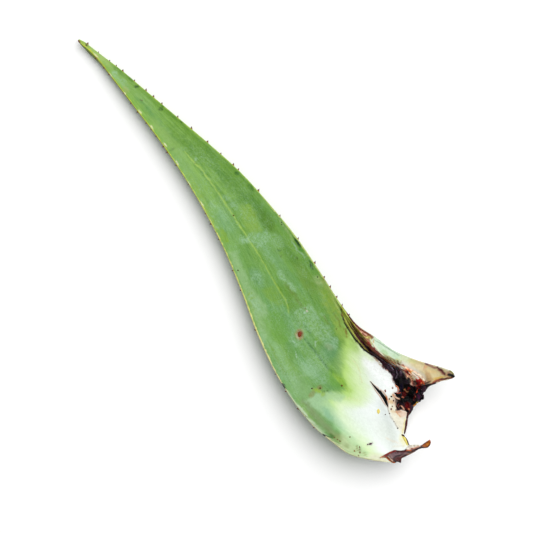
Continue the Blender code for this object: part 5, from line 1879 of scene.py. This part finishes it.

# %% Colours of the crust, painted like the base, with painted highlights on its gloss
CRUST_PAINT = (
    # painted highlight: the grey-violet patch is the sheen of the glossy upper crust, made lighter still to
    # offset the shade there
    area("#62505c", 2, (371, 351.6), (387, 359.6), (396, 366), (402, 371.6), (401, 378), (394, 378),
         (389, 371), (381, 361.6), share=0.85),
    line("#08060a", 1.1, (384, 359.4), (388, 364), (391.4, 369.6), (392, 376), taper=0.3),
    line("#08060a", 1.3, (389.6, 363.6), (394.4, 369), (395.6, 374), (394.4, 379), taper=0.3),
    line("#08060a", 1.2, (394, 366), (398.4, 370.6), (398.6, 376), (401, 380), taper=0.3),
    line("#08060a", 1, (391, 371.4), (395, 372.6), (399, 371.4), (402.4, 373), taper=0.3),
    # painted highlights: thin lines of gloss on the flakes
    band("#968a98", 0.8, (387, 361.4), (393.6, 370)),
    band("#8c8090", 0.8, (396.4, 370.4), (397, 374.4), (396.4, 377.6)),
    band("#807482", 0.8, (399.6, 369.8), (401.4, 372.6)),
    area("#341e22", 1.2, (396, 392), (400, 391.6), (400.6, 397.6), (398.6, 402), (399.6, 408.6), (396, 407)),
    line("#4a343c", 3, (366, 349), (373, 354.6), (380, 359.6), (386, 365), share=0.8),
    # painted highlight: a grey line of gloss along the crack
    line("#685e62", 0.9, (371, 352), (376, 356), (381, 359), (385, 362.6), share=0.8),
    line("#76322e", 1.3, (374, 357), (379, 361.6), (388, 371.6), share=0.9),
    spot("#0a0608", (405, 400), (6, 4.4), 20, 0.95),
    spot("#ce9682", (402.6, 410.2), (2.2, 1), 10, 0.8),
    spot("#0e080c", (400, 381), (4, 5), 0, 0.7),
    spot("#0e060a", (424.6, 386), (4, 1.2), 8, 0.9),
    # painted highlights: a bluish glint, and grey lines and a dot of gloss
    spot("#3c3e4e", (401, 386), (1.2, 3.4), 10, 0.6),
    line("#544c52", 1, (372, 353), (386, 363), (391, 367.6), share=0.7),
    line("#6e6464", 0.9, (373.8, 355.6), (376.2, 352.4), share=0.8),
    spot("#5a5454", (391.4, 366), (0.8, 1.1), 0, 0.7),
    area("#5c1612", 0.9, (401, 392.4), (405, 391), (406.6, 393), (404.6, 396.4), (401.6, 395)),
    spot("#c47460", (402.4, 397), (1.5, 0.8), 40, 0.9),
    line("#ba805e", 1.2, (404, 388.6), (407.4, 392.4)),
    spot("#8c3234", (408, 388), (0.9, 1.3), 0, 0.7),
    area("#58120e", 1, (403.6, 403), (408, 401.8), (410.6, 404), (410.4, 408), (408, 409), (405, 406)),
    area("#702820", 0.9, (404.6, 405.6), (407.4, 405), (409, 409), (406.6, 410)),
    line("#e8a688", 1.4, (400.6, 405.6), (402.6, 406.4), (404.4, 408.8)),
    spot("#ce8260", (409, 409.6), (0.8, 0.8)),
    line("#ecb294", 1.2, (394.6, 396), (396.6, 398), (399.4, 399.6)),
    line("#aa6e60", 0.9, (397.6, 405.4), (399.4, 407.2)),
    spot("#be503e", (417.6, 391), (0.7, 1.4)),
    line("#782c1e", 0.9, (414, 393), (414.6, 396.4), (413.4, 399.6)),
    spot("#be6e54", (414.6, 396.6), (0.7, 1)),
    spot("#be9c3c", (417, 402.8), (1.5, 1.1), -30),
    spot("#c48036", (414.6, 405.6), (1.3, 0.9), -30),
    line("#60423c", 1.6, (413.6, 407.6), (410, 415.6)),
    # painted sheen on the dark plates at the notch
    spot("#68525c", (423.6, 388.6), (2.4, 2), -30, 0.8),
    spot("#604254", (418.6, 397), (1.4, 2.6), -20, 0.8),
    spot("#5c5a60", (417.6, 401), (1.3, 0.8), -20, 0.7),
    area("#761e16", 1, (417, 384.6), (420, 385), (420, 389), (417.4, 388.6), share=0.8),
)
SAP_DARK, SAP_LIGHT = (0.001, 0.0006, 0.001, 1.0), (0.03, 0.018, 0.03, 1.0)
SAP_RED = (0.05, 0.004, 0.004, 1.0)


def sap_crust():
    """Black flakes, lighter where they stand higher, red in places, with the painted strokes over them."""
    recipe = Recipe("dried_sap")
    mottle = recipe.grains(500, 4.0, 0.65)
    cracks = recipe.grains(1400)
    black_sap = recipe.mix(recipe.ramp(recipe.amount("tone"), 0.2, 1.0), SAP_DARK, SAP_LIGHT)
    black_sap = recipe.mix(recipe.ramp(mottle, 0.6, 0.7, 0.0, 0.4), black_sap, SAP_RED)
    colour = recipe.over(black_sap, recipe.strokes(), recipe.amount("painted"))
    at_edge = recipe.ramp(recipe.amount("inside"), 1.0, 0.2)
    edge = recipe.times(at_edge, recipe.ramp(mottle, 0.4, 0.6, 0.0, 0.8))
    colour = recipe.mix(edge, colour, paint("#682c28"))
    height = recipe.plus(mottle, recipe.times(cracks, 0.15))
    return recipe.finish(colour, recipe.ramp(mottle, 0.3, 0.7, 0.2, 0.4), height, 0.00015, 0.06)


crust_colour, crust_amount = laid(shaken_u.ravel()[crust_places], shaken_v.ravel()[crust_places], CRUST_PAINT)
crust_values = {
    "strokes": crust_colour, "painted": crust_amount, "tone": flake_tone.ravel()[crust_places],
    "inside": crust_inside.ravel()[crust_places],
}
new_piece("dried_sap", crust_points, [crust_quads], crust_values, sap_crust())
print("crust lies in the crack")

# %% [markdown]
# ## Lower horn
# At the other end of the torn edge a strip of skin has dried to a purple-brown flap that ends in a small
# spoon. It is a thin shell: rows across it run between two edges read from the photo, and each row is a
# closed ring round a curved sheet, arched over the flap and hollow in the spoon.

# %% Rows of the lower horn: upper edge and lower edge in pixels, lift and arch in mm
HORN_ROWS = (
    ((379.6, 457.2), (380.0, 458.0), 0.2, 0.1),
    ((385.2, 454.0), (385.6, 457.8), 0.4, 0.5),
    ((389.5, 451.8), (388.8, 460.4), 0.5, 1.4),
    ((394.6, 450.0), (393.6, 463.2), 0.6, 1.8),
    ((397.6, 450.4), (397.2, 461.6), 0.7, 1.7),
    ((400.4, 450.6), (400.7, 462.6), 0.8, 1.6),
    ((402.4, 450.2), (401.6, 458.6), 0.9, 1.4),
    ((404.8, 449.4), (404.6, 456.9), 1.0, 1.2),
    ((409.0, 445.6), (408.6, 455.0), 1.2, 0.7),
    ((413.6, 444.8), (413.8, 452.2), 1.6, 0.4),
    ((418.0, 444.6), (418.4, 449.6), 2.2, 0.2),
    ((421.0, 445.0), (421.6, 448.2), 2.8, -0.2),
    ((424.0, 442.8), (424.8, 448.0), 3.4, -0.8),
    ((427.2, 440.6), (427.8, 447.2), 4.2, -1.0),
    ((429.4, 439.4), (429.8, 444.6), 4.8, -0.6),
    ((430.4, 440.6), (430.5, 442.4), 5.0, 0.0),
)
HORN_STEPS = 130
HORN_ACROSS = 30
HORN_THICK = 0.8
HORN_RIPPLE = 0.5  # pixels at its edges and mm on its face


def horn_rings():
    """Closed rings across the horn, with the photo pixel of every point.

    A row runs from edge to edge over an arch; half a thickness up and down, thin at both edges, makes
    it a ring.
    """
    table = np.array([(*a, *b, lift, arch) for a, b, lift, arch in HORN_ROWS])
    places = np.linspace(0, len(table) - 1, HORN_STEPS)
    rows = np.stack([smooth_curve(places, list(enumerate(column_values))) for column_values in table.T], -1)
    t = np.linspace(0, 1, HORN_ACROSS)[None, :, None]
    edge_noise = HORN_RIPPLE * (grain(places / 1.1, 0 * places + 0.5, 71) - 0.5)[:, None, None]
    pixels = rows[:, None, 0:2] * (1 - t) + rows[:, None, 2:4] * t
    pixels = pixels + edge_noise * (2 * t - 1)
    flat = skin_place(pixels[..., 0], pixels[..., 1])
    arch = rows[:, 5][:, None] * np.sin(math.pi * t[..., 0])
    ripple = HORN_RIPPLE * (grain(pixels[..., 0] / 2.6, pixels[..., 1] / 1.3, 72) - 0.5)
    flat[..., 2] += rows[:, 4][:, None] + arch + ripple
    edge = np.sin(math.pi * t[..., 0]) ** 0.4
    upper, lower = flat.copy(), flat.copy()
    upper[..., 2] += HORN_THICK / 2 * edge
    lower[..., 2] -= HORN_THICK / 2 * edge
    loop = np.concatenate([upper, lower[:, -2:0:-1]], axis=1)
    seen = np.concatenate([pixels, pixels[:, -2:0:-1]], axis=1)
    return loop, seen


horn_loop, horn_seen = horn_rings()
horn_points, horn_faces = tubes(horn_loop[None])
ends = horn_seen[[0, -1]].mean(axis=1)
horn_seen = np.concatenate([horn_seen.reshape(-1, 2), ends])
FLAP_PAINT = (
    area("#684a4c", 3, (378, 440), (435, 436), (435, 466), (378, 466)),
    area("#622c2a", 1.2, (393, 459), (398, 456.4), (404, 455), (402, 459), (401, 463), (395, 463)),
    area("#846c72", 1.2, (388, 455), (394, 452.4), (402, 452.6), (399, 455), (393, 457.6), (391, 458)),
    spot("#967a78", (390.6, 455.6), (3.4, 1.5), 50, 0.9),
    line("#80686e", 1.5, (393, 452.4), (399, 453.4), (406, 452.8), share=0.8),
    line("#866e68", 1.2, (404.4, 453.4), (409, 453.2), share=0.9),
    line("#2e161c", 1.3, (393, 458), (397, 455.6), (402, 455), (405.6, 455.4), share=0.9),
    line("#a88c8e", 0.8, (389.6, 454.4), (392.6, 457.6), share=0.9),
    line("#967c80", 0.8, (394.6, 454.4), (400, 453.6), share=0.9),
    line("#8c6c68", 0.8, (399.6, 456.6), (404.4, 454), share=0.8),
    # painted highlight along the flap's lower-left rim
    line("#f8dcbc", 0.9, (388.2, 456.4), (393, 462)),
    line("#402428", 0.9, (397, 450.8), (398, 453.4), share=0.8),
    line("#5a2828", 1.3, (396, 450.8), (401, 451.6), (406, 451.2)),
    line("#341010", 1.6, (400, 461.6), (396, 462), (394, 459.6)),
    band("#963a1a", 1.7, (384.6, 455.6), (388, 453.2), (395.6, 450.4)),
    line("#e2a47c", 1, (384.6, 453.8), (388, 452), (392, 450.8)),
    band("#ce743e", 1.8, (386, 457.4), (391.6, 462.4), (394.4, 462.8)),
    band("#602210", 1.2, (387.4, 457), (390.4, 459.8), (393.4, 461.8)),
    # painted highlight on the orange rim
    line("#f0ceb4", 1, (390.6, 459), (392.6, 460.8)),
    spot("#e4ac88", (381.6, 457), (3.2, 1.1), -20),
    line("#964a3c", 0.8, (382.4, 456.8), (385.6, 455.2)),
    area("#fcf2e2", 0.7, (406, 443), (421, 443), (420, 446.4), (413, 448.2), (409, 449.8), (405.6, 449)),
    line("#e0e4be", 1.8, (406, 445), (412, 444.4), (419, 444.2), taper=0.1),
    spot("#805c68", (403.8, 449.2), (1.6, 0.9), 10, 0.9),
    spot("#603842", (405.6, 450.2), (1.2, 0.8), 10, 0.9),
    line("#e09e80", 1.2, (409.6, 448.6), (414, 448), (419, 446.2)),
    spot("#a05a4c", (412, 448.2), (1.2, 0.6)),
    line("#d86e24", 1.4, (406.6, 450.4), (409, 450.2), (411.4, 450.8)),
    spot("#281612", (409, 451.8), (2.6, 0.9), 10),
    line("#967050", 1, (407.6, 454.6), (414, 451.6)),
    line("#4c2826", 1.7, (411, 451.8), (421.6, 446.8), taper=0.1),
    area("#b86a2a", 0.8, (421.6, 445.4), (424.4, 442.4), (427.4, 440), (430.6, 439), (430.6, 443),
         (428.4, 446.6), (424.4, 447.4)),
    spot("#d68844", (427.6, 444), (1.6, 1.4), -38),
    line("#7a4218", 1.2, (421.6, 445), (424.4, 443), (427, 441.6)),
    band("#461a0a", 1.3, (421.4, 447.2), (424.6, 447.8), (427.6, 447), (429.6, 444.6)),
    spot("#de8060", (429.8, 440), (1.2, 1.2)),
)
print("lower horn:", horn_loop.shape)


def painted_skin(name, ground, dark, roughness, depth):
    """A dried skin: painted strokes on a ground colour, with noise at two scales."""
    recipe = Recipe(name)
    mottle = recipe.grains(420, 4.0, 0.65)
    fine = recipe.grains(1500)
    plain = recipe.mix(recipe.ramp(mottle, 0.35, 0.65), ground, dark)
    shadows = recipe.mix(recipe.ramp(mottle, 0.3, 0.7), paint("#e2dede"), (1.1, 1.1, 1.1, 1.0))
    strokes = recipe.mix(1.0, recipe.strokes(), shadows, "MULTIPLY")
    colour = recipe.over(plain, strokes, recipe.amount("painted"))
    height = recipe.plus(mottle, recipe.times(fine, 0.4))
    return recipe.finish(colour, recipe.ramp(mottle, 0.3, 0.7, *roughness), height, depth)


horn_colour, horn_amount = laid(*shaken(*horn_seen.T, 0.4, 2.0, 73), FLAP_PAINT)
flap_skin = painted_skin("dried_flap_skin", paint("#684a4c"), paint("#462c2e"), (0.35, 0.6), 0.0006)
new_piece("lower_horn", horn_points, horn_faces, {"strokes": horn_colour, "painted": horn_amount}, flap_skin)
print("lower horn lies on the corner")

# %% [markdown]
# ## Torn flesh
# Beside the crust lies the open wound, with cream and orange flesh and dark pits. The skin's grid is too
# coarse for its strokes, so a slab with smaller cells lies over it. Ridges run along the tear.

# %% The wound: a fine slab with ridges along the tear
FLESH_U, FLESH_V = (392, 432), (360, 390)
FLESH_STEP = 0.3
FLESH_OUTLINE = (
    (396, 363.4), (401, 363), (407, 366), (413, 369.6), (420, 373), (425.6, 377.6), (428.6, 382.4),
    (427, 385.4), (421, 387.4), (413, 387.4), (407, 385), (404.6, 380), (402.6, 374), (399.6, 370),
)
FLESH_PITS = (((407.2, 372.2), (2.3, 1.3), 32), ((408.4, 381), (1.6, 3.4), 0))
FLESH_ROOT = 1.0  # mm of it under the skin
FLESH_SINK, FLESH_SWELL, RIDGE_HEIGHT, PIT_DEPTH = 0.5, 0.9, 0.8, 0.9

flesh_v, flesh_u = np.mgrid[slice(*FLESH_V, FLESH_STEP), slice(*FLESH_U, FLESH_STEP)]
flesh_inside = within(*shaken(flesh_u, flesh_v, 1.2, 2.4, 65), FLESH_OUTLINE)
flesh_top = skin_place(flesh_u, flesh_v)
flesh_bottom = flesh_top - [0, 0, FLESH_ROOT]
along, sideways = (flesh_u + flesh_v) / 2, flesh_v - 0.62 * flesh_u
ridges = grain(along / 5.0, sideways * 1.1, 66) + 0.6 * grain(along / 2.4, sideways * 2.3, 67) - 0.8
pits = np.maximum.reduce([oval(flesh_u, flesh_v, *pit) for pit in FLESH_PITS])
swell = smoothstep(0.0, 2.5, flesh_inside)
flesh_top[..., 2] += -FLESH_SINK + FLESH_SWELL * swell + RIDGE_HEIGHT * ridges * swell - PIT_DEPTH * pits
flesh_points, flesh_quads, flesh_places = slab(flesh_top, flesh_bottom, cells_inside(flesh_inside))
near_u, near_v = shaken(flesh_u, flesh_v, 0.5, 1.4, 68)
flesh_colour, flesh_amount = laid(near_u.ravel()[flesh_places], near_v.ravel()[flesh_places], TORN_FLESH)
flesh_skin = painted_skin("torn_flesh", paint("#f4d6b8"), paint("#ce9678"), (0.35, 0.55), 0.0003)
flesh_colour = (1.6 * flesh_colour).clip(0, 0.95)  # the wound leans away from the light
flesh_values = {"strokes": flesh_colour, "painted": flesh_amount}
new_piece("torn_flesh", flesh_points, [flesh_quads], flesh_values, flesh_skin)
print("torn flesh:", len(flesh_quads), "faces")

# %% [markdown]
# ## Torn fibres
# The tear left strands of flesh and skin standing: cream and peach ones over the wound, dark ones along
# the torn edge, which has dried black. Each is a thin round strand that lies on the skin and tapers at
# both ends. Painted strokes alone looked flat there.

# %% Strands: colour, width in pixels, lift in mm, and their places
FIBRES = (
    ("#fcecd4", 1.2, 0.5, (399.2, 364.8), (402.6, 367.4), (406, 369.6)),
    ("#fad6b6", 1.3, 0.6, (408.2, 371.8), (412, 374.8), (415.6, 377.6)),
    ("#fcecdc", 1.3, 0.6, (411, 372.2), (415.4, 375.4), (419.6, 378.6)),
    ("#f0b894", 1.2, 0.5, (405.8, 374.4), (409.4, 377.4), (412.6, 380.6)),
    ("#f2e4d0", 1.5, 0.4, (411.6, 370.8), (417.4, 374.4), (422, 378.6), (424.6, 383)),
    ("#ce6226", 1.1, 0.5, (421.2, 378.8), (423.2, 382.4), (424.8, 385.4)),
    ("#9e3620", 1.2, 0.5, (403.4, 369.8), (407.6, 373.4), (411, 376.2)),
    ("#8c2212", 1.4, 0.5, (417.6, 379), (418.8, 382.6), (418.2, 386.4)),
    ("#c48660", 0.9, 1.3, (403.4, 387.8), (405.4, 390), (407, 392.6)),
    ("#e49474", 1.4, 0.7, (395, 384.4), (397.6, 387.4), (399, 391.4)),
    ("#b05446", 1.2, 0.6, (396.4, 392.6), (399.2, 393.2), (401, 392)),
    ("#f6ceb0", 1.3, 0.5, (394.4, 395.8), (397, 398.2), (400.4, 399.6)),
    ("#eebaa0", 1.3, 0.6, (400.4, 405.4), (402.8, 407.4), (404.4, 410.4)),
    ("#c4803c", 1.1, 0.6, (416.4, 402.6), (415, 404.6), (412.6, 407)),
    ("#be604a", 0.9, 1.4, (415, 392.4), (414.4, 395.4), (415, 398)),
    ("#583430", 2.6, 0.3, (412.4, 404.6), (409.6, 409.6), (407.8, 415), (406.8, 420)),
    ("#160c0e", 1.7, 0.3, (417.4, 388), (422, 386.8), (426, 386), (430.4, 383.4)),
    ("#5e342e", 2.2, 0.1, (407.9, 416), (406.5, 422), (405.5, 429), (404.1, 435)),
    ("#543426", 1.7, 0.3, (401.4, 434.4), (403.6, 435.8), (405, 437.8)),
    ("#60462c", 1.2, 0.2, (404.6, 436.8), (407.2, 440.6), (409, 445.6)),
    ("#fcee82", 2.2, 0.1, (401.8, 434.6), (404.4, 438.4), (406.4, 442.6), (407.4, 446)),
    ("#46282c", 1.0, 0.5, (371, 350), (376, 354.4), (382, 358.6), (388, 363.4)),
    # painted highlights: these three grey strands over the crust stand for streaks of its gloss
    ("#74646a", 0.9, 0.9, (374, 353.8), (380.6, 358.8), (387, 364.4), (392, 369.4)),
    ("#5c4e5a", 1.0, 1.1, (389, 366.6), (393.4, 370.8), (398, 374.2), (400.4, 378)),
    ("#544654", 1.0, 1.1, (394.6, 367.4), (397.2, 371.6), (401.2, 374.8)),
    ("#925442", 1.0, 0.6, (380.4, 356), (386.4, 360.2), (391.6, 364.2), (396, 368.2)),
    ("#ce9678", 0.8, 0.6, (389, 359.8), (393, 362.6), (397.4, 365.8)),
    ("#a0704a", 0.8, 0.5, (389.6, 357.6), (391.6, 361.4), (394.6, 365.4)),
    ("#966846", 0.8, 0.4, (386.6, 356), (388.4, 359), (390.2, 362.4)),
    ("#ac805a", 0.8, 0.4, (393.8, 358.6), (394.6, 361), (396.4, 363.4)),
    ("#1a1016", 1.3, 0.2, (342.8, 317.4), (345.2, 323.4), (348, 328.6), (351, 332.6)),
    ("#180e16", 1.8, 0.3, (348.6, 329.4), (352, 334.4), (356, 340), (360.4, 345)),
    ("#1e121a", 1.5, 0.3, (358, 342.6), (362.4, 347.8), (366, 351), (370, 354)),
    ("#f4f0d6", 0.9, 0.5, (371.6, 341.6), (375.6, 347.6), (380.4, 352.8), (386, 356.8)),
    ("#b0ba60", 1.2, 0.5, (345.6, 316), (350, 323.6), (355, 330.4), (361, 337)),
    ("#542c32", 1.0, 0.6, (347, 313), (351.6, 319.6), (357, 326.6), (363, 332)),
    ("#8c4e3c", 1.0, 0.6, (353, 321.6), (358.4, 327), (364.6, 332), (371, 335.6)),
    ("#c49278", 0.9, 0.6, (354.4, 324.6), (359, 329.4), (363.6, 333.4)),
    ("#684c3e", 1.0, 0.7, (351, 324), (355.6, 330.8), (361, 337.6), (367, 344)),
    ("#a8a05c", 0.9, 0.6, (358, 333.4), (363, 338), (368, 342.6)),
)
FIBRE_RINGS = 18
FIBRE_SIDES = 8
FIBRE_WANDER = 0.5  # pixels
FIBRE_FLAT = 0.7  # height as a share of width


def fibre_rings(fibres):
    """Round rings along each strand, thin at both ends, lying on the skin."""
    s_along = np.linspace(0, 1, FIBRE_RINGS)
    turn = circle(FIBRE_SIDES)
    made = []
    for number, (_, width, lift, *places) in enumerate(fibres):
        knots = np.linspace(0, 1, len(places))
        u, v = (smooth_curve(s_along, list(zip(knots, values))) for values in zip(*places))
        wander = FIBRE_WANDER * (grain(s_along * 4.0, s_along * 0 + number * 1.7, 81) - 0.5)
        middle = skin_place(u + wander, v - wander, lift)
        middle[:, 2] -= (lift + 0.5) * np.abs(2 * s_along - 1) ** 6  # both ends go down into the skin
        ahead = unit(np.gradient(middle, axis=0))
        sideways = np.cross([0, 0, 1.0], ahead)
        above = np.cross(ahead, sideways)
        radius = PIXEL * width / 2 * (0.15 + 0.85 * np.sin(math.pi * s_along) ** 0.45)
        radius *= 0.8 + 0.4 * grain(s_along * 7.0, s_along * 0 + number * 2.3, 82)
        ring = sideways[:, None] * np.cos(turn)[:, None] + FIBRE_FLAT * above[:, None] * np.sin(turn)[:, None]
        made.append(middle[:, None] + radius[:, None, None] * ring)
    return np.array(made)


def item_colours(items, rings_each, sides):
    """The painted colour of each item, on all its points."""
    table = np.array([paint(item[0])[:3] for item in items])
    spread = np.repeat(table[:, None], rings_each, axis=1)
    return np.stack([per_ring(spread[..., i], sides) for i in range(3)], -1)


def dried_drop(name, gloss, roughness):
    """Sap or fibre in its painted colour, with darker mottling."""
    recipe = Recipe(name)
    mottle = recipe.grains(900, 4.0, 0.65)
    tone = recipe.mix(recipe.ramp(mottle, 0.3, 0.65), (0.82, 0.78, 0.74, 1.0), (1.06, 1.05, 1.04, 1.0))
    colour = recipe.mix(1.0, recipe.strokes(), tone, "MULTIPLY")
    return recipe.finish(colour, recipe.ramp(mottle, 0.3, 0.7, *roughness), mottle, FINE_BUMP, gloss)


fibre_points, fibre_faces = tubes(fibre_rings(FIBRES))
fibre_values = {"strokes": item_colours(FIBRES, FIBRE_RINGS, FIBRE_SIDES)}
new_piece("torn_fibres", fibre_points, fibre_faces, fibre_values, dried_drop("torn_fibre", 0.3, (0.45, 0.65)))
print("fibres:", len(FIBRES))

# %% [markdown]
# ## Drops and flecks
# Small drops of sap have dried on the white base, one of them clear yellow, and brown flecks sit on the
# blade. Each is a low dome with a wavy rim that grows out of the skin, so light catches it.

# %% Domes: colour, centre and radii in pixels, turn in degrees, height in mm
DROPS = (
    ("#96625c", (385.3, 391.0), (0.8, 1.6), -10, 0.5),
    ("#ac8e88", (392.5, 388.0), (0.8, 1.1), 0, 0.4),
    ("#3c1a14", (391.3, 396.5), (1.1, 0.8), 20, 0.5),
    ("#6e5032", (389.3, 399.0), (0.6, 1.2), 0, 0.4),
    ("#887464", (392.4, 406.3), (0.7, 0.7), 0, 0.4),
    ("#967062", (391.2, 409.0), (0.9, 1.1), 0, 0.4),
    ("#5a3c32", (385.4, 414.5), (0.6, 0.5), 0, 0.3),
    ("#50322c", (389.5, 413.5), (0.6, 0.5), 0, 0.3),
    ("#5a3c32", (394.0, 421.5), (0.5, 0.4), 0, 0.3),
    ("#3c1c18", (396.0, 410.0), (0.7, 0.6), 0, 0.4),
    ("#40282c", (397.7, 428.2), (0.8, 0.7), 0, 0.4),
    ("#6e3224", (398.4, 404.6), (0.9, 1.2), 20, 0.5),
    ("#5a241a", (393.6, 400.6), (0.7, 0.9), 0, 0.4),
    ("#f4e27c", (378.3, 411.4), (1.6, 2.2), -10, 0.5),
    ("#604654", (370.6, 443.8), (1.7, 0.9), -25, 0.4),
    ("#6e5460", (367.8, 444.4), (0.9, 0.7), 0, 0.3),
    ("#5c4a2c", (336.5, 329.0), (0.5, 0.5), 0, 0.25),
    ("#544228", (312.0, 388.5), (1.0, 0.8), 0, 0.35),
    ("#68603c", (320.2, 388.2), (1.0, 1.0), 0, 0.35),
    ("#76603c", (341.8, 385.6), (1.1, 0.9), 20, 0.4),
    ("#786c46", (350.0, 437.0), (0.8, 0.6), 0, 0.3),
    ("#746842", (334.5, 437.5), (0.9, 0.7), 0, 0.3),
    ("#7a6c46", (337.5, 439.5), (0.8, 0.6), 0, 0.3),
    ("#786846", (340.0, 441.0), (0.9, 0.7), 30, 0.3),
    ("#806c4c", (360.0, 452.5), (0.8, 0.7), 0, 0.3),
    ("#866e4e", (358.5, 455.5), (0.9, 0.5), 30, 0.3),
    ("#826e4c", (359.5, 447.0), (0.6, 1.0), 0, 0.3),
    ("#967446", (354.5, 451.0), (1.0, 0.8), 0, 0.3),
    ("#68582c", (233.5, 215.5), (0.8, 0.7), 0, 0.3),
    ("#5a4e2c", (238.0, 270.3), (0.9, 0.6), 0, 0.3),
    ("#384c2c", (281.5, 222.3), (0.6, 0.6), 0, 0.25),
    ("#3c4c2c", (281.6, 224.6), (0.6, 0.6), 0, 0.25),
    ("#96aa6e", (195.0, 163.0), (0.6, 0.6), 0, 0.25),
    ("#3c5428", (317.5, 277.0), (0.7, 0.7), 0, 0.25),
    ("#8c4c36", (299.9, 334.2), (2.2, 2.8), -10, 0.5),
    ("#ceceba", (306.8, 311.2), (1.1, 0.8), 40, 0.35),
)
DROP_SIDES = 12
DROP_WAVE = 0.5  # how far the rim is from an oval
DROP_PROFILE = ((1.05, -0.6), (1.0, 0.1), (0.85, 0.6), (0.55, 0.88), (0.2, 1.0))


def drop_rings(drops):
    """Rings of low domes on the skin, from under its surface up to the top."""
    turn = circle(DROP_SIDES)
    made = []
    for number, (_, (centre_u, centre_v), (wide, high), angle, height) in enumerate(drops):
        wavy = 1 + DROP_WAVE * (grain(2 + 1.6 * np.cos(turn), number * 3.1 + 1.6 * np.sin(turn), 91) - 0.5)
        a, b = wide * wavy * np.cos(turn), high * wavy * np.sin(turn)
        c, s = math.cos(math.radians(angle)), math.sin(math.radians(angle))
        du, dv = a * c - b * s, a * s + b * c
        made.append([skin_place(centre_u + scale * du, centre_v + scale * dv, rise * height)
                     for scale, rise in DROP_PROFILE])
    return np.array(made)


drop_points, drop_faces = tubes(drop_rings(DROPS))
drop_values = {"strokes": item_colours(DROPS, len(DROP_PROFILE), DROP_SIDES)}
new_piece("sap_drops", drop_points, drop_faces, drop_values, dried_drop("sap_drop", 0.25, (0.35, 0.55)))
print("drops:", len(DROPS))
